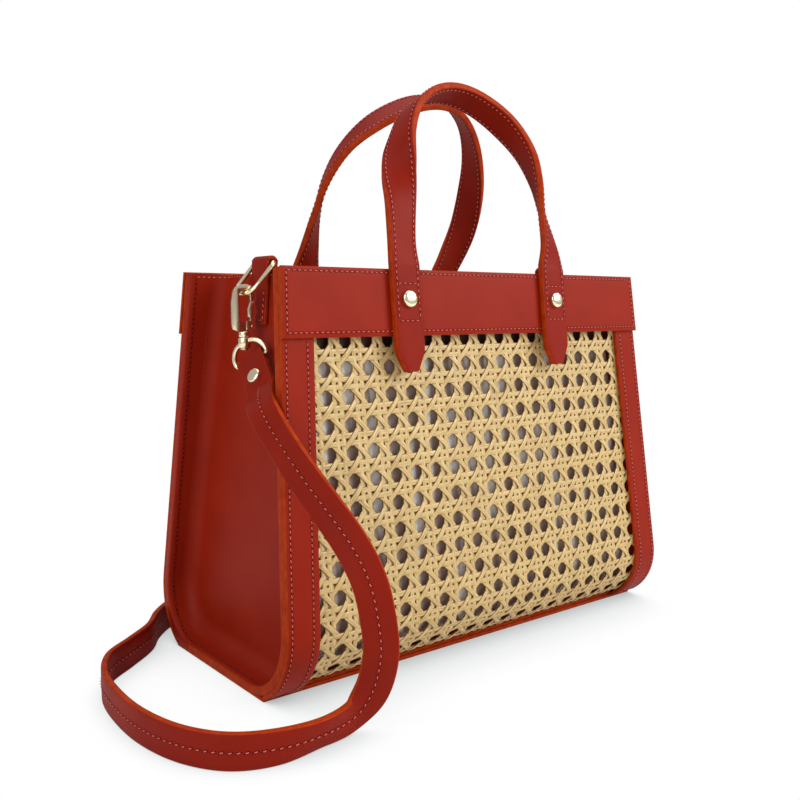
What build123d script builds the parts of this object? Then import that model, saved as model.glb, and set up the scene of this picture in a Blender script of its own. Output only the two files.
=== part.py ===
from build123d import *
import os
from math import atan, cos, pi, radians, sin

# Box tote of leather and woven cane, with two arch handles and a shoulder strap clipped to both sides.
# Millimetres. X runs along the width, the front looks to -Y, the left side to -X, and Z=0 is the floor.
# The origin is on the floor, under the middle of the bag.

# Body of the bag
bag_height = 200.0
top_width = 246.0
bottom_width = 268.0
top_depth = 96.0
bottom_depth = 140.0
corner_radius = 34.0
corner_sink = 2.0
base_depth = 92.0

# Leather, cane and lining, from the outside in
band_leather = 2.0
stile_leather = 2.2
cane_thickness = 1.8
gusset_leather = 2.0
lining_thickness = 1.0
base_leather = 2.0
board_thickness = 2.0
seat_gap = 0.3

# Front and back panels
stile_width = 16.5
band_height = 32.5
band_overhang = 0.6
cane_margin = 1.5
cane_step_x = 22.0
cane_step_z = 19.5
cane_gap_radius = 5.8
cane_gap_margin = 2.0
cane_rib_width = 2.4
cane_rib_height = 0.6
facing_height = 30.0
lining_lap = 8.0

# Sides
recess_bottom = 14.5
recess_top = 19.0

# Handles
handle_width = 17.5
handle_thickness = 3.6
handle_spacing = 105.0
front_handle_shift = -2.7
back_handle_shift = 6.0
screw_below_top = 15.0
tab_drop = 35.5
tab_taper = 10.0
tab_tip_width = 6.4
tab_rise = 2.0
# Each arch from left to right: distance from the handle's middle, from the middle of the bag, rise above
# the top edge, and twist
front_arch = (
    (-51.4, 48.2, 15.0, 84.6),
    (-47.5, 42.3, 34.2, 97.0),
    (-44.0, 36.9, 51.1, 134.2),
    (-38.4, 32.0, 67.9, 175.8),
    (-28.0, 26.9, 83.4, 190.6),
    (-12.6, 23.2, 93.3, 197.8),
    (5.0, 21.9, 96.5, 199.3),
    (22.7, 23.3, 92.7, 197.5),
    (38.9, 27.1, 82.8, 193.2),
    (50.9, 32.1, 68.3, 172.1),
    (55.6, 37.0, 51.4, 148.5),
    (55.2, 42.2, 33.4, 129.4),
    (55.1, 48.1, 14.0, 107.7),
)
back_arch = (
    (-51.7, 48.7, 14.0, 116.1),
    (-50.2, 43.2, 34.6, 141.7),
    (-47.0, 36.9, 53.7, 157.1),
    (-38.5, 30.0, 71.4, 175.5),
    (-22.4, 24.0, 86.6, 197.2),
    (-2.6, 19.0, 97.4, 205.5),
    (16.6, 17.5, 101.8, 209.0),
    (34.4, 19.1, 99.5, 207.6),
    (49.6, 24.1, 89.4, 201.9),
    (59.4, 30.2, 72.8, 184.8),
    (63.8, 36.9, 53.1, 157.3),
    (63.6, 43.3, 33.0, 126.0),
    (57.9, 48.7, 14.0, 97.0),
)

# Screws
screw_head_diameter = 8.4
screw_head_height = 2.6
screw_shank_diameter = 4.0
screw_clearance = 0.1
screw_cap_height = 1.4
screw_sides = 20
shank_sides = 12

# Tab and ring on each side
tab_width = 15.0
tab_leather = 1.8
tab_outer_tail = 27.0
tab_inner_tail = 18.0
ring_wire = 2.4
ring_inner_width = 17.0
ring_corner = 2.6
ring_bend = 6.5
ring_rise = 3.8
ring_play = 0.3
ring_seat = 0.45
wire_bend_steps = 4

# Trigger hook, hanging from the ring on an upright swivel axis
hook_x = 116.0
hook_y = -1.5
hook_base_z = 169.5
hook_turn = 12.0
hook_thickness = 4.0
hook_half_width = 5.8
hook_bar = 2.9
hook_block_height = 5.5
hook_arch_height = 17.6
gate_pin_x = 3.6
gate_pin_height = 2.8
gate_pin_radius = 0.6
gate_pin_fit = 0.06
gate_ear_thickness = 1.6
gate_slot_gap = 0.15
collar_radius = 2.7
collar_height = 2.6
swivel_radius = 1.4
swivel_fit = 0.08
swivel_gap = 0.2
swivel_head_radius = 1.9
swivel_head_height = 1.3
hook_bend_steps = 8

# Bow that the strap folds through
bow_wire = 2.5
bow_turn = 60.0
bow_tilt = 27.0
bow_drop = 9.6
bow_corner = 1.7
bow_arch = 7.6
bow_boss_radius = 3.1
bow_boss_height = 5.0
bow_side_gap = 0.5

# Shoulder strap
strap_width = 15.5
strap_thickness = 3.0
fold_play = 0.2
fold_leather = 1.8
fold_lean = 45.0
fold_length = 21.5
strap_screw_drop = 14.0
strap_screw_head = 7.6
fold_sides = 16


def half_width(z):
    """Half the width of the front and back panels at height z."""
    return (bottom_width + (top_width - bottom_width) * z / bag_height) / 2


def half_depth(z):
    """Half the depth of the bag at height z, before the bottom corners are rounded."""
    return (bottom_depth + (top_depth - bottom_depth) * z / bag_height) / 2


def recess(z):
    """How far the side wall stands in from the edges of the panels at height z."""
    return recess_bottom + (recess_top - recess_bottom) * z / bag_height


def side_wall(z):
    """Distance from the middle of the bag to the outer face of its side wall."""
    return half_width(z) - recess(z)


lean = atan((bottom_depth - top_depth) / 2 / bag_height)
cane_front = stile_leather
cane_back = stile_leather + cane_thickness
flange_back = cane_back + gusset_leather
board_top = base_leather + board_thickness
reach = bottom_width

pieces = []


def keep(piece, name):
    """Give a finished piece its name and put it on the list of pieces."""
    piece.label = name
    pieces.append(piece)


def side_outline(inset):
    """The bag seen from its side, with its rounded bottom corners, moved in by inset."""
    slant = inset / cos(lean)
    bottom = inset - corner_sink
    with BuildSketch(Plane.YZ) as outline:
        with BuildLine():
            Polyline(
                (-half_depth(bag_height) + slant, bag_height),
                (-half_depth(bottom) + slant, bottom),
                (half_depth(bottom) - slant, bottom),
                (half_depth(bag_height) - slant, bag_height),
                close=True,
            )
        make_face()
        fillet(outline.vertices().group_by(Axis.Y)[0], corner_radius - inset)
    return outline.sketch


def front_outline(low, high, left, right):
    """The region of the front view between two heights, where left and right give x at a height."""
    with BuildSketch(Plane.XZ) as outline:
        with BuildLine():
            Polyline((left(low), low), (right(low), low), (right(high), high), (left(high), high), close=True)
        make_face()
    return outline.sketch


def wall_sheet(near, far, outline, face):
    """A sheet that follows the front (face -1) or back (face 1) wall, from depth near to depth far."""
    with BuildPart() as sheet:
        extrude(to_extrude=side_outline(near), amount=reach, both=True)
        extrude(to_extrude=side_outline(far), amount=2 * reach, both=True, mode=Mode.SUBTRACT)
        extrude(to_extrude=outline, amount=reach, both=True, mode=Mode.INTERSECT)
        split(bisect_by=Plane.XZ, keep=Keep.TOP if face < 0 else Keep.BOTTOM)
    return sheet.part


def core(inset, outline):
    """The whole bag moved in by inset, cut to an outline in the front view."""
    with BuildPart() as block:
        extrude(to_extrude=side_outline(inset), amount=reach, both=True)
        extrude(to_extrude=outline, amount=reach, both=True, mode=Mode.INTERSECT)
    return block.part


def wall_plane(face, z):
    """The outer face of a panel, with its origin in the middle at height z."""
    return Plane(
        origin=(0, face * half_depth(z), z),
        x_dir=(-face, 0, 0),
        z_dir=(0, face * cos(lean), sin(lean)),
    )


# Where the handle screws sit, and where the two handles start
screw_z = bag_height - screw_below_top
face_names = {-1: "front", 1: "back"}
side_names = {-1: "left", 1: "right"}
handle_shift = {-1: front_handle_shift, 1: back_handle_shift}


def screw_spots(face):
    """The two screw centres on a panel's outer face, from the middle of that face."""
    shift = -face * handle_shift[face]
    return [(shift - handle_spacing / 2, 0), (shift + handle_spacing / 2, 0)]


def screw_holes(face, near, far):
    """Bores for the two handle screws of a face, through the layers from depth near to depth far."""
    plane = wall_plane(face, screw_z).offset(-far)
    with BuildSketch(plane) as holes:
        with Locations(*screw_spots(face)):
            RegularPolygon(screw_shank_diameter / 2 + screw_clearance, shank_sides)
    extrude(to_extrude=holes.sketch, amount=far - near, mode=Mode.SUBTRACT)


# Front and back: two stiles, a cane panel, a top band with its backing, and a facing inside
def left_edge(inset):
    return lambda z: -half_width(z) + inset


def right_edge(inset):
    return lambda z: half_width(z) - inset


band_bottom = bag_height - band_height
window_bottom = corner_radius + cane_gap_margin

for face, face_name in face_names.items():
    for side, side_name in side_names.items():
        outer = left_edge(0) if side < 0 else right_edge(0)
        inner = left_edge(stile_width) if side < 0 else right_edge(stile_width)
        with BuildPart() as stile:
            add(wall_sheet(0, stile_leather, front_outline(base_leather, bag_height, outer, inner), face))
        keep(stile.part, f"{face_name}_{side_name}_stile")

    with BuildPart() as backing:
        span = front_outline(band_bottom, bag_height, left_edge(stile_width), right_edge(stile_width))
        add(wall_sheet(0, stile_leather, span, face))
        screw_holes(face, -1, stile_leather + 1)
    keep(backing.part, f"{face_name}_band_backing")

    with BuildPart() as band:
        span = front_outline(band_bottom, bag_height, left_edge(-band_overhang), right_edge(-band_overhang))
        add(wall_sheet(-band_leather, 0, span, face))
        screw_holes(face, -band_leather - 1, 1)
    keep(band.part, f"{face_name}_top_band")

    with BuildPart() as facing:
        span = front_outline(
            bag_height - facing_height,
            bag_height,
            lambda z: -side_wall(z) + gusset_leather + seat_gap,
            lambda z: side_wall(z) - gusset_leather - seat_gap,
        )
        add(wall_sheet(cane_back, flange_back, span, face))
        screw_holes(face, cane_back - 1, flange_back + 1)
    keep(facing.part, f"{face_name}_facing")

    # The cane is woven with open eyes; upright pairs of strands lie over the level ones
    middle = (window_bottom + band_bottom) / 2
    plane = wall_plane(face, middle)
    rows = int((band_bottom - window_bottom - 2 * cane_gap_radius) / cane_step_z / cos(lean)) + 1
    eyes = []
    columns = int(half_width(0) / cane_step_x) + 1
    for row in range(rows):
        up = (row - (rows - 1) / 2) * cane_step_z
        free = half_width(middle + up * cos(lean)) - stile_width - cane_gap_radius - cane_gap_margin
        for column in range(-columns, columns + 1):
            if abs(column * cane_step_x) <= free:
                eyes.append((column * cane_step_x, up))
    top_row = (rows - 1) / 2 * cane_step_z
    across = max(abs(x) for x, up in eyes if up == top_row)
    with BuildPart() as cane:
        span = front_outline(board_top, bag_height, left_edge(cane_margin), right_edge(cane_margin))
        add(wall_sheet(cane_front, cane_back, span, face))
        with BuildSketch(plane.offset(-cane_back - 1)) as openings:
            with Locations(*eyes):
                RegularPolygon(cane_gap_radius, 6)
        extrude(to_extrude=openings.sketch, amount=cane_thickness + 2, mode=Mode.SUBTRACT)
        with BuildSketch(plane.offset(-cane_front)) as uprights:
            with GridLocations(cane_step_x, 1, int(round(2 * across / cane_step_x)), 1):
                Rectangle(cane_rib_width, 2 * ((band_bottom - middle) / cos(lean) - seat_gap))
        extrude(to_extrude=uprights.sketch, amount=cane_rib_height)
        screw_holes(face, cane_front - 1, cane_back + 1)
    keep(cane.part, f"{face_name}_cane_panel")

# Base: an outer leather with a stiff board on it
with BuildPart() as base_panel:
    with BuildSketch(Plane.XY):
        Rectangle(bottom_width, base_depth)
    extrude(amount=base_leather)
    chamfer(base_panel.edges().filter_by(Axis.Z), 2.0)
keep(base_panel.part, "base_panel")

with BuildPart() as base_board:
    with BuildSketch(Plane.XY.offset(base_leather)):
        Rectangle(2 * (side_wall(board_top) - gusset_leather - seat_gap), base_depth)
    extrude(amount=board_thickness)
keep(base_board.part, "base_board")

# Sides: a wall set in from the panels, with flanges turned out along the front, the base and the back
for side, side_name in side_names.items():
    with BuildPart() as gusset:
        near_wall = lambda z: side * side_wall(z)
        far_wall = lambda z: side * (side_wall(z) - gusset_leather)
        edge = lambda z: side * half_width(z)
        for face in face_names:
            add(wall_sheet(cane_back, flange_back, front_outline(0, bag_height, edge, far_wall), face))
        add(core(cane_back, front_outline(0, bag_height, near_wall, far_wall)))
    keep(gusset.part, f"{side_name}_gusset")

# Lining: a thin open box inside, sewn to the facings
lining_top = bag_height - facing_height + lining_lap
with BuildPart() as lining:
    gap = gusset_leather + seat_gap
    add(core(flange_back + seat_gap, front_outline(
        0, lining_top, lambda z: -side_wall(z) + gap, lambda z: side_wall(z) - gap)))
    room = gap + lining_thickness
    hollow = core(flange_back + seat_gap + lining_thickness, front_outline(
        0, bag_height, lambda z: -side_wall(z) + room, lambda z: side_wall(z) - room))
    add(hollow, mode=Mode.SUBTRACT)
keep(lining.part, "lining")


# Flat leather bands that bend and twist
def between(values, t):
    """A vector at t on a smooth curve through the values, where t counts them from 0."""
    i = min(int(t), len(values) - 2)
    f = t - i
    before = values[max(i - 1, 0)]
    here, there = values[i], values[i + 1]
    after = values[min(i + 2, len(values) - 1)]
    straight = (there - before) * f
    curve = (before * 2 - here * 5 + there * 4 - after) * f**2
    turn = (here * 3 - before - there * 3 + after) * f**3
    return here + (straight + curve + turn) * 0.5


def band_planes(points, across, steps, first=None, last=None):
    """Planes across a band whose middle runs through the points, with x_dir across its width."""
    planes = []
    count = (len(points) - 1) * steps
    for k in range(count + 1):
        t = k / steps
        here = between(points, t)
        ahead = between(points, min(t + 0.05, len(points) - 1))
        behind = between(points, max(t - 0.05, 0))
        along = (ahead - behind).normalized()
        if k == 0 and first:
            along = first
        if k == count and last:
            along = last
        side_on = between(across, t)
        side_on = (side_on - along * side_on.dot(along)).normalized()
        planes.append(Plane(origin=here, x_dir=side_on, z_dir=along))
    return planes


def stretched(rings, closed=False):
    """A solid with flat three-cornered faces stretched from each ring of points to the next."""
    sides = len(rings[0])
    faces = []
    for a, b in zip(rings, rings[1:] + rings[:1] if closed else rings[1:]):
        for i in range(sides):
            j = (i + 1) % sides
            faces.append(Face(Wire.make_polygon([a[i], a[j], b[j]])))
            faces.append(Face(Wire.make_polygon([a[i], b[j], b[i]])))
    if not closed:
        faces += [Face(Wire.make_polygon(rings[0])), Face(Wire.make_polygon(rings[-1]))]
    return Solid(Shell(faces))


def band_between(planes, widths, thickness):
    """A solid band through the planes, with a width at each."""
    t = thickness / 2
    rings = []
    for plane, width in zip(planes, widths):
        corners = ((-width / 2, -t), (width / 2, -t), (width / 2, t), (-width / 2, t))
        rings.append([plane.from_local_coords((x, y, 0)) for x, y in corners])
    return stretched(rings)


# Handles: pointed tabs on the band, and an arch that turns its outer face up and out
tab_top = screw_below_top + tab_rise
arches = {-1: front_arch, 1: back_arch}

for face, face_name in face_names.items():
    plane = wall_plane(face, screw_z).offset(band_leather)
    mid = plane.offset(handle_thickness / 2)
    spots = sorted(screw_spots(face), key=lambda spot: mid.from_local_coords((spot[0], 0, 0)).X)
    start = mid.from_local_coords((spots[0][0], tab_top, 0))
    end = mid.from_local_coords((spots[1][0], tab_top, 0))
    points, across = [start], [Vector(1, 0, 0)]
    for out, depth, rise, twist in arches[face]:
        points.append(Vector(out + handle_shift[face], face * depth, bag_height + rise))
    points.append(end)
    for i, (out, depth, rise, twist) in enumerate(arches[face], start=1):
        along = (points[i + 1] - points[i - 1]).normalized()
        along = Vector(along.X, -face * along.Y, along.Z)
        level = Vector(0, 1, 0)
        level = (level - along * level.dot(along)).normalized()
        edge = level * cos(radians(-twist)) + along.cross(level) * sin(radians(-twist))
        across.append(Vector(edge.X, -face * edge.Y, edge.Z))
    across.append(Vector(-1, 0, 0))
    planes = band_planes(points, across, 3, first=plane.y_dir, last=plane.y_dir * -1)
    widths = [handle_width] * len(planes)
    for up, width in ((tab_taper - tab_drop, handle_width), (-tab_drop, tab_tip_width)):
        foot = [mid.from_local_coords((spot[0], up, 0)) for spot in spots]
        planes.insert(0, Plane(origin=foot[0], x_dir=(1, 0, 0), z_dir=plane.y_dir))
        planes.append(Plane(origin=foot[1], x_dir=(-1, 0, 0), z_dir=plane.y_dir * -1))
        widths = [width] + widths + [width]
    with BuildPart() as handle:
        add(band_between(planes, widths, handle_thickness))
        screw_holes(face, -band_leather - handle_thickness - 1, -band_leather + 1)
    keep(handle.part, f"{face_name}_handle")

    # Screws through tab, band, backing, cane and facing, each closed by a cap inside
    stack = flange_back + band_leather + handle_thickness
    for spot in spots:
        number = "left" if mid.from_local_coords((spot[0], 0, 0)).X < 0 else "right"
        seat = plane.offset(handle_thickness)
        here = Plane(origin=seat.from_local_coords((spot[0], 0, 0)), x_dir=seat.x_dir, z_dir=seat.z_dir)
        with BuildPart() as screw:
            with BuildSketch(here):
                RegularPolygon(screw_shank_diameter / 2, shank_sides)
            extrude(amount=-stack)
            with BuildSketch(here):
                RegularPolygon(screw_head_diameter / 2, screw_sides)
            extrude(amount=screw_head_height)
            chamfer(screw.faces().sort_by(Axis(here.origin, here.z_dir))[-1].edges(), 1.0)
        keep(screw.part, f"{face_name}_{number}_handle_screw")
        with BuildPart() as cap:
            with BuildSketch(here.offset(-stack)):
                RegularPolygon(screw_head_diameter / 2, screw_sides)
            extrude(amount=-screw_cap_height)
            chamfer(cap.faces().sort_by(Axis(here.origin, here.z_dir))[0].edges(), 0.5)
        keep(cap.part, f"{face_name}_{number}_screw_cap")

# Left side: a tab looped over the wall's top edge holds the ring
wall_middle = -side_wall(bag_height) + gusset_leather / 2
bar_z = bag_height + ring_rise
loop_radius = ring_wire / 2 + ring_play + tab_leather / 2


def tail_x(z, out):
    """Middle of a tab tail at height z: out is -1 outside the wall and 1 inside it."""
    wall = -side_wall(z) + (gusset_leather if out > 0 else 0)
    return wall + out * (seat_gap + tab_leather / 2)


with BuildPart() as left_tab:
    with BuildSketch(Plane.XZ):
        with BuildLine() as tab_path:
            low_in = bag_height - tab_inner_tail
            low_out = bag_height - tab_outer_tail
            inside = Line((tail_x(low_in, 1), low_in), (wall_middle + loop_radius, bar_z))
            over = ThreePointArc(
                inside @ 1, (wall_middle, bar_z + loop_radius), (wall_middle - loop_radius, bar_z)
            )
            Line(over @ 1, (tail_x(low_out, -1), low_out))
        trace(tab_path.line, tab_leather)
    extrude(amount=tab_width / 2, both=True)


def wire_loop(plane, half, drop, top_radius, bottom_radius, wire):
    """A ring of wire with eight sides, hanging in a plane from the middle of its top bar."""
    bends = (
        (-half + top_radius, -top_radius, top_radius, 180),
        (half - top_radius, -top_radius, top_radius, 90),
        (half - bottom_radius, bottom_radius - drop, bottom_radius, 0),
        (bottom_radius - half, bottom_radius - drop, bottom_radius, -90),
    )
    path = []
    for x, y, radius, start in bends:
        for k in range(wire_bend_steps + 1):
            turn = radians(start - 90 * k / wire_bend_steps)
            path.append(Vector(x + radius * cos(turn), y + radius * sin(turn), 0))
    rings = []
    for i, here in enumerate(path):
        before = (here - path[i - 1]).normalized()
        after = (path[(i + 1) % len(path)] - here).normalized()
        out = Vector(-before.Y - after.Y, before.X + after.X, 0).normalized()
        spread = 1 / out.dot(Vector(-before.Y, before.X, 0))
        ring = []
        for k in range(8):
            turn = pi * (k + 0.5) / 4
            side_on = here + out * (cos(turn) * wire / 2 * spread)
            ring.append(plane.from_local_coords((side_on.X, side_on.Y, sin(turn) * wire / 2)))
        rings.append(ring)
    return stretched(rings, closed=True)


# The ring hangs out over the tab, down to the hook
inner_half = hook_half_width - hook_bar
hook_top = hook_base_z + hook_arch_height + inner_half
ring_bottom = Vector(-hook_x, 0, hook_top - ring_wire / 2 - ring_seat)
ring_top = Vector(wall_middle, 0, bar_z)
ring_drop = ring_top - ring_bottom
ring_plane = Plane(origin=ring_top, x_dir=(0, 1, 0), z_dir=Vector(0, 1, 0).cross(ring_drop))
ring_half = (ring_inner_width + ring_wire) / 2
with BuildPart() as left_ring:
    add(wire_loop(ring_plane, ring_half, ring_drop.length, ring_corner, ring_bend, ring_wire - 0.06))
    with BuildSketch(Plane(origin=ring_top, z_dir=(0, 1, 0)).offset(ring_corner - ring_half)):
        Circle(ring_wire / 2)
    extrude(amount=2 * (ring_half - ring_corner))

# Trigger hook: a solid arch with a sprung gate, on an upright swivel
hook_plane = Plane(
    origin=(-hook_x, hook_y, hook_base_z),
    x_dir=(cos(radians(hook_turn)), -sin(radians(hook_turn)), 0),
    z_dir=(-sin(radians(hook_turn)), -cos(radians(hook_turn)), 0),
)
nose_end = hook_arch_height - 2.3
gate_top = nose_end - seat_gap
hook_eye_bend = [radians(180 * k / hook_bend_steps) for k in range(hook_bend_steps + 1)]
with BuildPart() as left_hook_body:
    with BuildSketch(hook_plane.offset(-hook_thickness / 2)):
        with BuildLine():
            over = [(-hook_half_width * cos(a), hook_arch_height + hook_half_width * sin(a)) for a in hook_eye_bend]
            under = [(inner_half * cos(a), hook_arch_height + inner_half * sin(a)) for a in hook_eye_bend]
            Polyline(
                (-hook_half_width, 1.2),
                *over,
                (hook_half_width, nose_end),
                (inner_half, nose_end),
                *under,
                (-inner_half, hook_block_height),
                (hook_half_width - 0.6, hook_block_height),
                (hook_half_width - 0.6, 1.2),
                (collar_radius, 0),
                (-collar_radius, 0),
                close=True,
            )
        make_face()
    extrude(amount=hook_thickness)
    with BuildSketch(hook_plane.offset(-gate_ear_thickness / 2 - gate_slot_gap)):
        with BuildLine():
            Polyline((0.6, 0.9), (7, 0.9), (7, 8), (0.6, 8), close=True)
        make_face()
    extrude(amount=gate_ear_thickness + 2 * gate_slot_gap, mode=Mode.SUBTRACT)
    with BuildSketch(hook_plane.offset(-hook_thickness)):
        with Locations((gate_pin_x, gate_pin_height)):
            Circle(gate_pin_radius)
    extrude(amount=2 * hook_thickness, mode=Mode.SUBTRACT)
    with BuildSketch(Plane(origin=hook_plane.origin)):
        RegularPolygon(collar_radius, shank_sides)
    extrude(amount=-collar_height)
    with BuildSketch(Plane(origin=hook_plane.origin).offset(-collar_height)):
        Circle(swivel_radius)
    extrude(amount=-(bow_boss_height + 2 * swivel_gap))
    with BuildSketch(Plane(origin=hook_plane.origin).offset(-collar_height - bow_boss_height - 2 * swivel_gap)):
        RegularPolygon(swivel_head_radius, shank_sides)
    extrude(amount=-swivel_head_height)

with BuildPart() as left_gate_pin:
    with BuildSketch(hook_plane.offset(-hook_thickness / 2)):
        with Locations((gate_pin_x, gate_pin_height)):
            Circle(gate_pin_radius)
    extrude(amount=hook_thickness)

with BuildPart() as left_hook_gate:
    with BuildSketch(hook_plane.offset(-gate_ear_thickness / 2)):
        with Locations((gate_pin_x, gate_pin_height)):
            RegularPolygon(1.5, shank_sides)
        with BuildLine():
            Polyline((2.3, gate_pin_height), (5.0, gate_pin_height), (5.4, 7.5), (inner_half, 7.5), close=True)
        make_face()
        with Locations((gate_pin_x, gate_pin_height)):
            Circle(gate_pin_radius + gate_pin_fit, mode=Mode.SUBTRACT)
    extrude(amount=gate_ear_thickness)
    with BuildSketch(hook_plane.offset(-hook_thickness / 2 + 0.3)):
        with BuildLine():
            Polyline(
                (inner_half, 6.3), (5.5, 6.3), (5.5, 8.4), (6.5, 9.2), (6.5, 10.8), (5.5, 11.6),
                (5.5, gate_top), (inner_half, gate_top), close=True,
            )
        make_face()
    extrude(amount=hook_thickness - 0.6)

# Bow under the swivel
bow_turn_x = cos(radians(bow_turn))
bow_turn_y = -sin(radians(bow_turn))
bow_across = Vector(bow_turn_x * cos(radians(bow_tilt)), bow_turn_y * cos(radians(bow_tilt)), sin(radians(bow_tilt)))
bow_out = Vector(bow_turn_y, -bow_turn_x, 0)
boss_middle = hook_base_z - collar_height - swivel_gap - bow_boss_height / 2
bow_plane = Plane(origin=(-hook_x, hook_y, boss_middle), x_dir=bow_across, z_dir=bow_out)
bow_half = (strap_width + 2 * bow_side_gap + bow_wire) / 2
with BuildPart() as left_bow:
    add(wire_loop(bow_plane, bow_half, bow_drop, bow_arch, bow_corner, bow_wire))
    with BuildSketch(Plane(origin=bow_plane.origin).offset(bow_boss_height / 2)):
        RegularPolygon(bow_boss_radius, shank_sides)
    extrude(amount=-bow_boss_height)
    with BuildSketch(Plane(origin=bow_plane.origin).offset(bow_boss_height)):
        Circle(swivel_radius + swivel_fit)
    extrude(amount=-2 * bow_boss_height, mode=Mode.SUBTRACT)

# Strap end: folded round the bow's bar, its two plies held by a screw
bar = bow_plane.from_local_coords((0, -bow_drop, 0))
fall = bow_plane.y_dir * -cos(radians(fold_lean)) + bow_out * sin(radians(fold_lean))
fold_plane = Plane(origin=bar, x_dir=fall, z_dir=bow_across)
fold_inner = bow_wire / 2 + fold_play
fold_outer = fold_inner + fold_leather
strap_seat = Plane(origin=bar + fall * strap_screw_drop, x_dir=bow_across, z_dir=bow_across.cross(fall))
if strap_seat.z_dir.dot(bow_out) < 0:
    strap_seat = Plane(origin=strap_seat.origin, x_dir=bow_across * -1, z_dir=strap_seat.z_dir * -1)


def strap_end():
    """The folded end of the strap, with the bore for its screw."""
    with BuildPart() as end:
        with BuildSketch(fold_plane.offset(-strap_width / 2)):
            RegularPolygon(fold_outer, fold_sides)
            with BuildLine():
                Polyline(
                    (0, fold_outer),
                    (7.5, fold_leather),
                    (fold_length - 3, fold_leather),
                    (fold_length, strap_thickness / 2),
                    (fold_length, -strap_thickness / 2),
                    (fold_length - 3, -fold_leather),
                    (7.5, -fold_leather),
                    (0, -fold_outer),
                    close=True,
                )
            make_face()
            RegularPolygon(fold_inner / cos(pi / fold_sides), fold_sides, mode=Mode.SUBTRACT)
        extrude(amount=strap_width)
        with BuildSketch(strap_seat.offset(-6)):
            RegularPolygon(screw_shank_diameter / 2 + screw_clearance, shank_sides)
        extrude(amount=12, mode=Mode.SUBTRACT)
    return end.part


with BuildPart() as left_strap_screw:
    with BuildSketch(strap_seat.offset(fold_leather)):
        RegularPolygon(strap_screw_head / 2, screw_sides)
    extrude(amount=screw_head_height)
    chamfer(left_strap_screw.faces().sort_by(Axis(strap_seat.origin, strap_seat.z_dir))[-1].edges(), 1.0)
    with BuildSketch(strap_seat.offset(fold_leather)):
        RegularPolygon(screw_shank_diameter / 2, shank_sides)
    extrude(amount=-2 * fold_leather)
    with BuildSketch(strap_seat.offset(-fold_leather)):
        RegularPolygon(strap_screw_head / 2, screw_sides)
    extrude(amount=-1.0)

# The strap falls from the left bow, lies on edge in a loop on the floor, runs behind the bag and
# climbs to the right bow, which is the left one turned half round
strap_start = bar + fall * (fold_length - 0.5)
on_edge = strap_width / 2
left_route = (
    ((-129.6, -34.0, 138.6), (0.54, -0.72, 0.43)),
    ((-133.8, -49.5, 133.0), (0.60, -0.68, 0.42)),
    ((-132.6, -62.5, 122.0), (0.66, -0.64, 0.38)),
    ((-128.5, -72.0, 109.0), (0.71, -0.62, 0.33)),
    ((-123.0, -81.0, 94.5), (0.74, -0.60, 0.27)),
    ((-118.0, -91.5, 80.0), (0.77, -0.59, 0.20)),
    ((-114.2, -100.5, 66.0), (0.78, -0.58, 0.15)),
    ((-112.0, -105.5, 51.0), (0.79, -0.58, 0.08)),
    ((-111.0, -106.0, 36.0), (0.78, -0.58, -0.05)),
)
floor_route = (
    ((-112.5, -102.0, 20.0), (0.74, -0.35, -0.45)),
    ((-120.0, -98.5, 9.5), (0.50, 0.15, -0.80)),
    ((-138.0, -101.5, 8.2), (0.12, 0.35, -0.93)),
    ((-158.0, -100.5, on_edge + 0.1), (0.0, 0.12, -1.0)),
    ((-175.5, -91.8, on_edge + 0.1), (0.0, 0.0, -1.0)),
    ((-187.5, -74.0, on_edge + 0.1), (0.0, 0.0, -1.0)),
    ((-193.5, -50.0, on_edge + 0.1), (0.0, 0.0, -1.0)),
    ((-194.0, -24.0, on_edge + 0.1), (0.0, 0.0, -1.0)),
    ((-190.5, 0.0, on_edge + 0.1), (0.0, 0.0, -1.0)),
    ((-181.0, 19.5, on_edge + 0.1), (0.0, 0.0, -1.0)),
    ((-165.0, 33.0, on_edge + 0.1), (0.0, 0.0, -1.0)),
    ((-149.0, 47.0, on_edge + 0.1), (0.0, 0.0, -1.0)),
    ((-137.0, 64.0, on_edge + 0.1), (0.0, 0.0, -1.0)),
    ((-121.0, 78.0, on_edge + 0.1), (0.0, 0.0, -1.0)),
    ((-98.0, 84.0, on_edge + 0.1), (0.0, 0.0, -1.0)),
    ((-62.0, 84.5, on_edge + 0.1), (0.0, 0.0, -1.0)),
    ((-20.0, 82.5, on_edge + 0.1), (0.0, 0.0, -1.0)),
    ((25.0, 83.0, on_edge + 0.1), (0.0, 0.0, -1.0)),
    ((66.0, 87.5, on_edge + 0.6), (0.0, -0.12, -1.0)),
    ((95.0, 94.0, 13.0), (0.35, -0.30, -0.88)),
    ((109.0, 101.0, 25.0), (0.72, -0.45, -0.50)),
)


def turned(v):
    """A point or direction on the other side of the bag, half a turn about the upright axis."""
    return Vector(-v[0], -v[1], v[2])


route = [strap_start] + [Vector(*p) for p, w in left_route + floor_route]
route += [turned(p) for p, w in reversed(left_route)]
route.append(turned((strap_start.X, strap_start.Y, strap_start.Z)))
facing_way = [bow_across] + [Vector(*w) for p, w in left_route + floor_route]
facing_way += [turned(w) * -1 for p, w in reversed(left_route)]
facing_way.append(turned((bow_across.X, bow_across.Y, bow_across.Z)) * -1)
turned_fall = turned((fall.X, fall.Y, fall.Z))

with BuildPart() as shoulder_strap:
    planes = band_planes(route, facing_way, 2, first=fall, last=turned_fall * -1)
    add(band_between(planes, [strap_width] * len(planes), strap_thickness))
    add(strap_end())
    add(strap_end().rotate(Axis.Z, 180))
keep(shoulder_strap.part, "shoulder_strap")
length = sum((b.origin - a.origin).length for a, b in zip(planes, planes[1:])) + 2 * fold_length
print("shoulder strap between its folds:", round(length), "mm")

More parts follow.
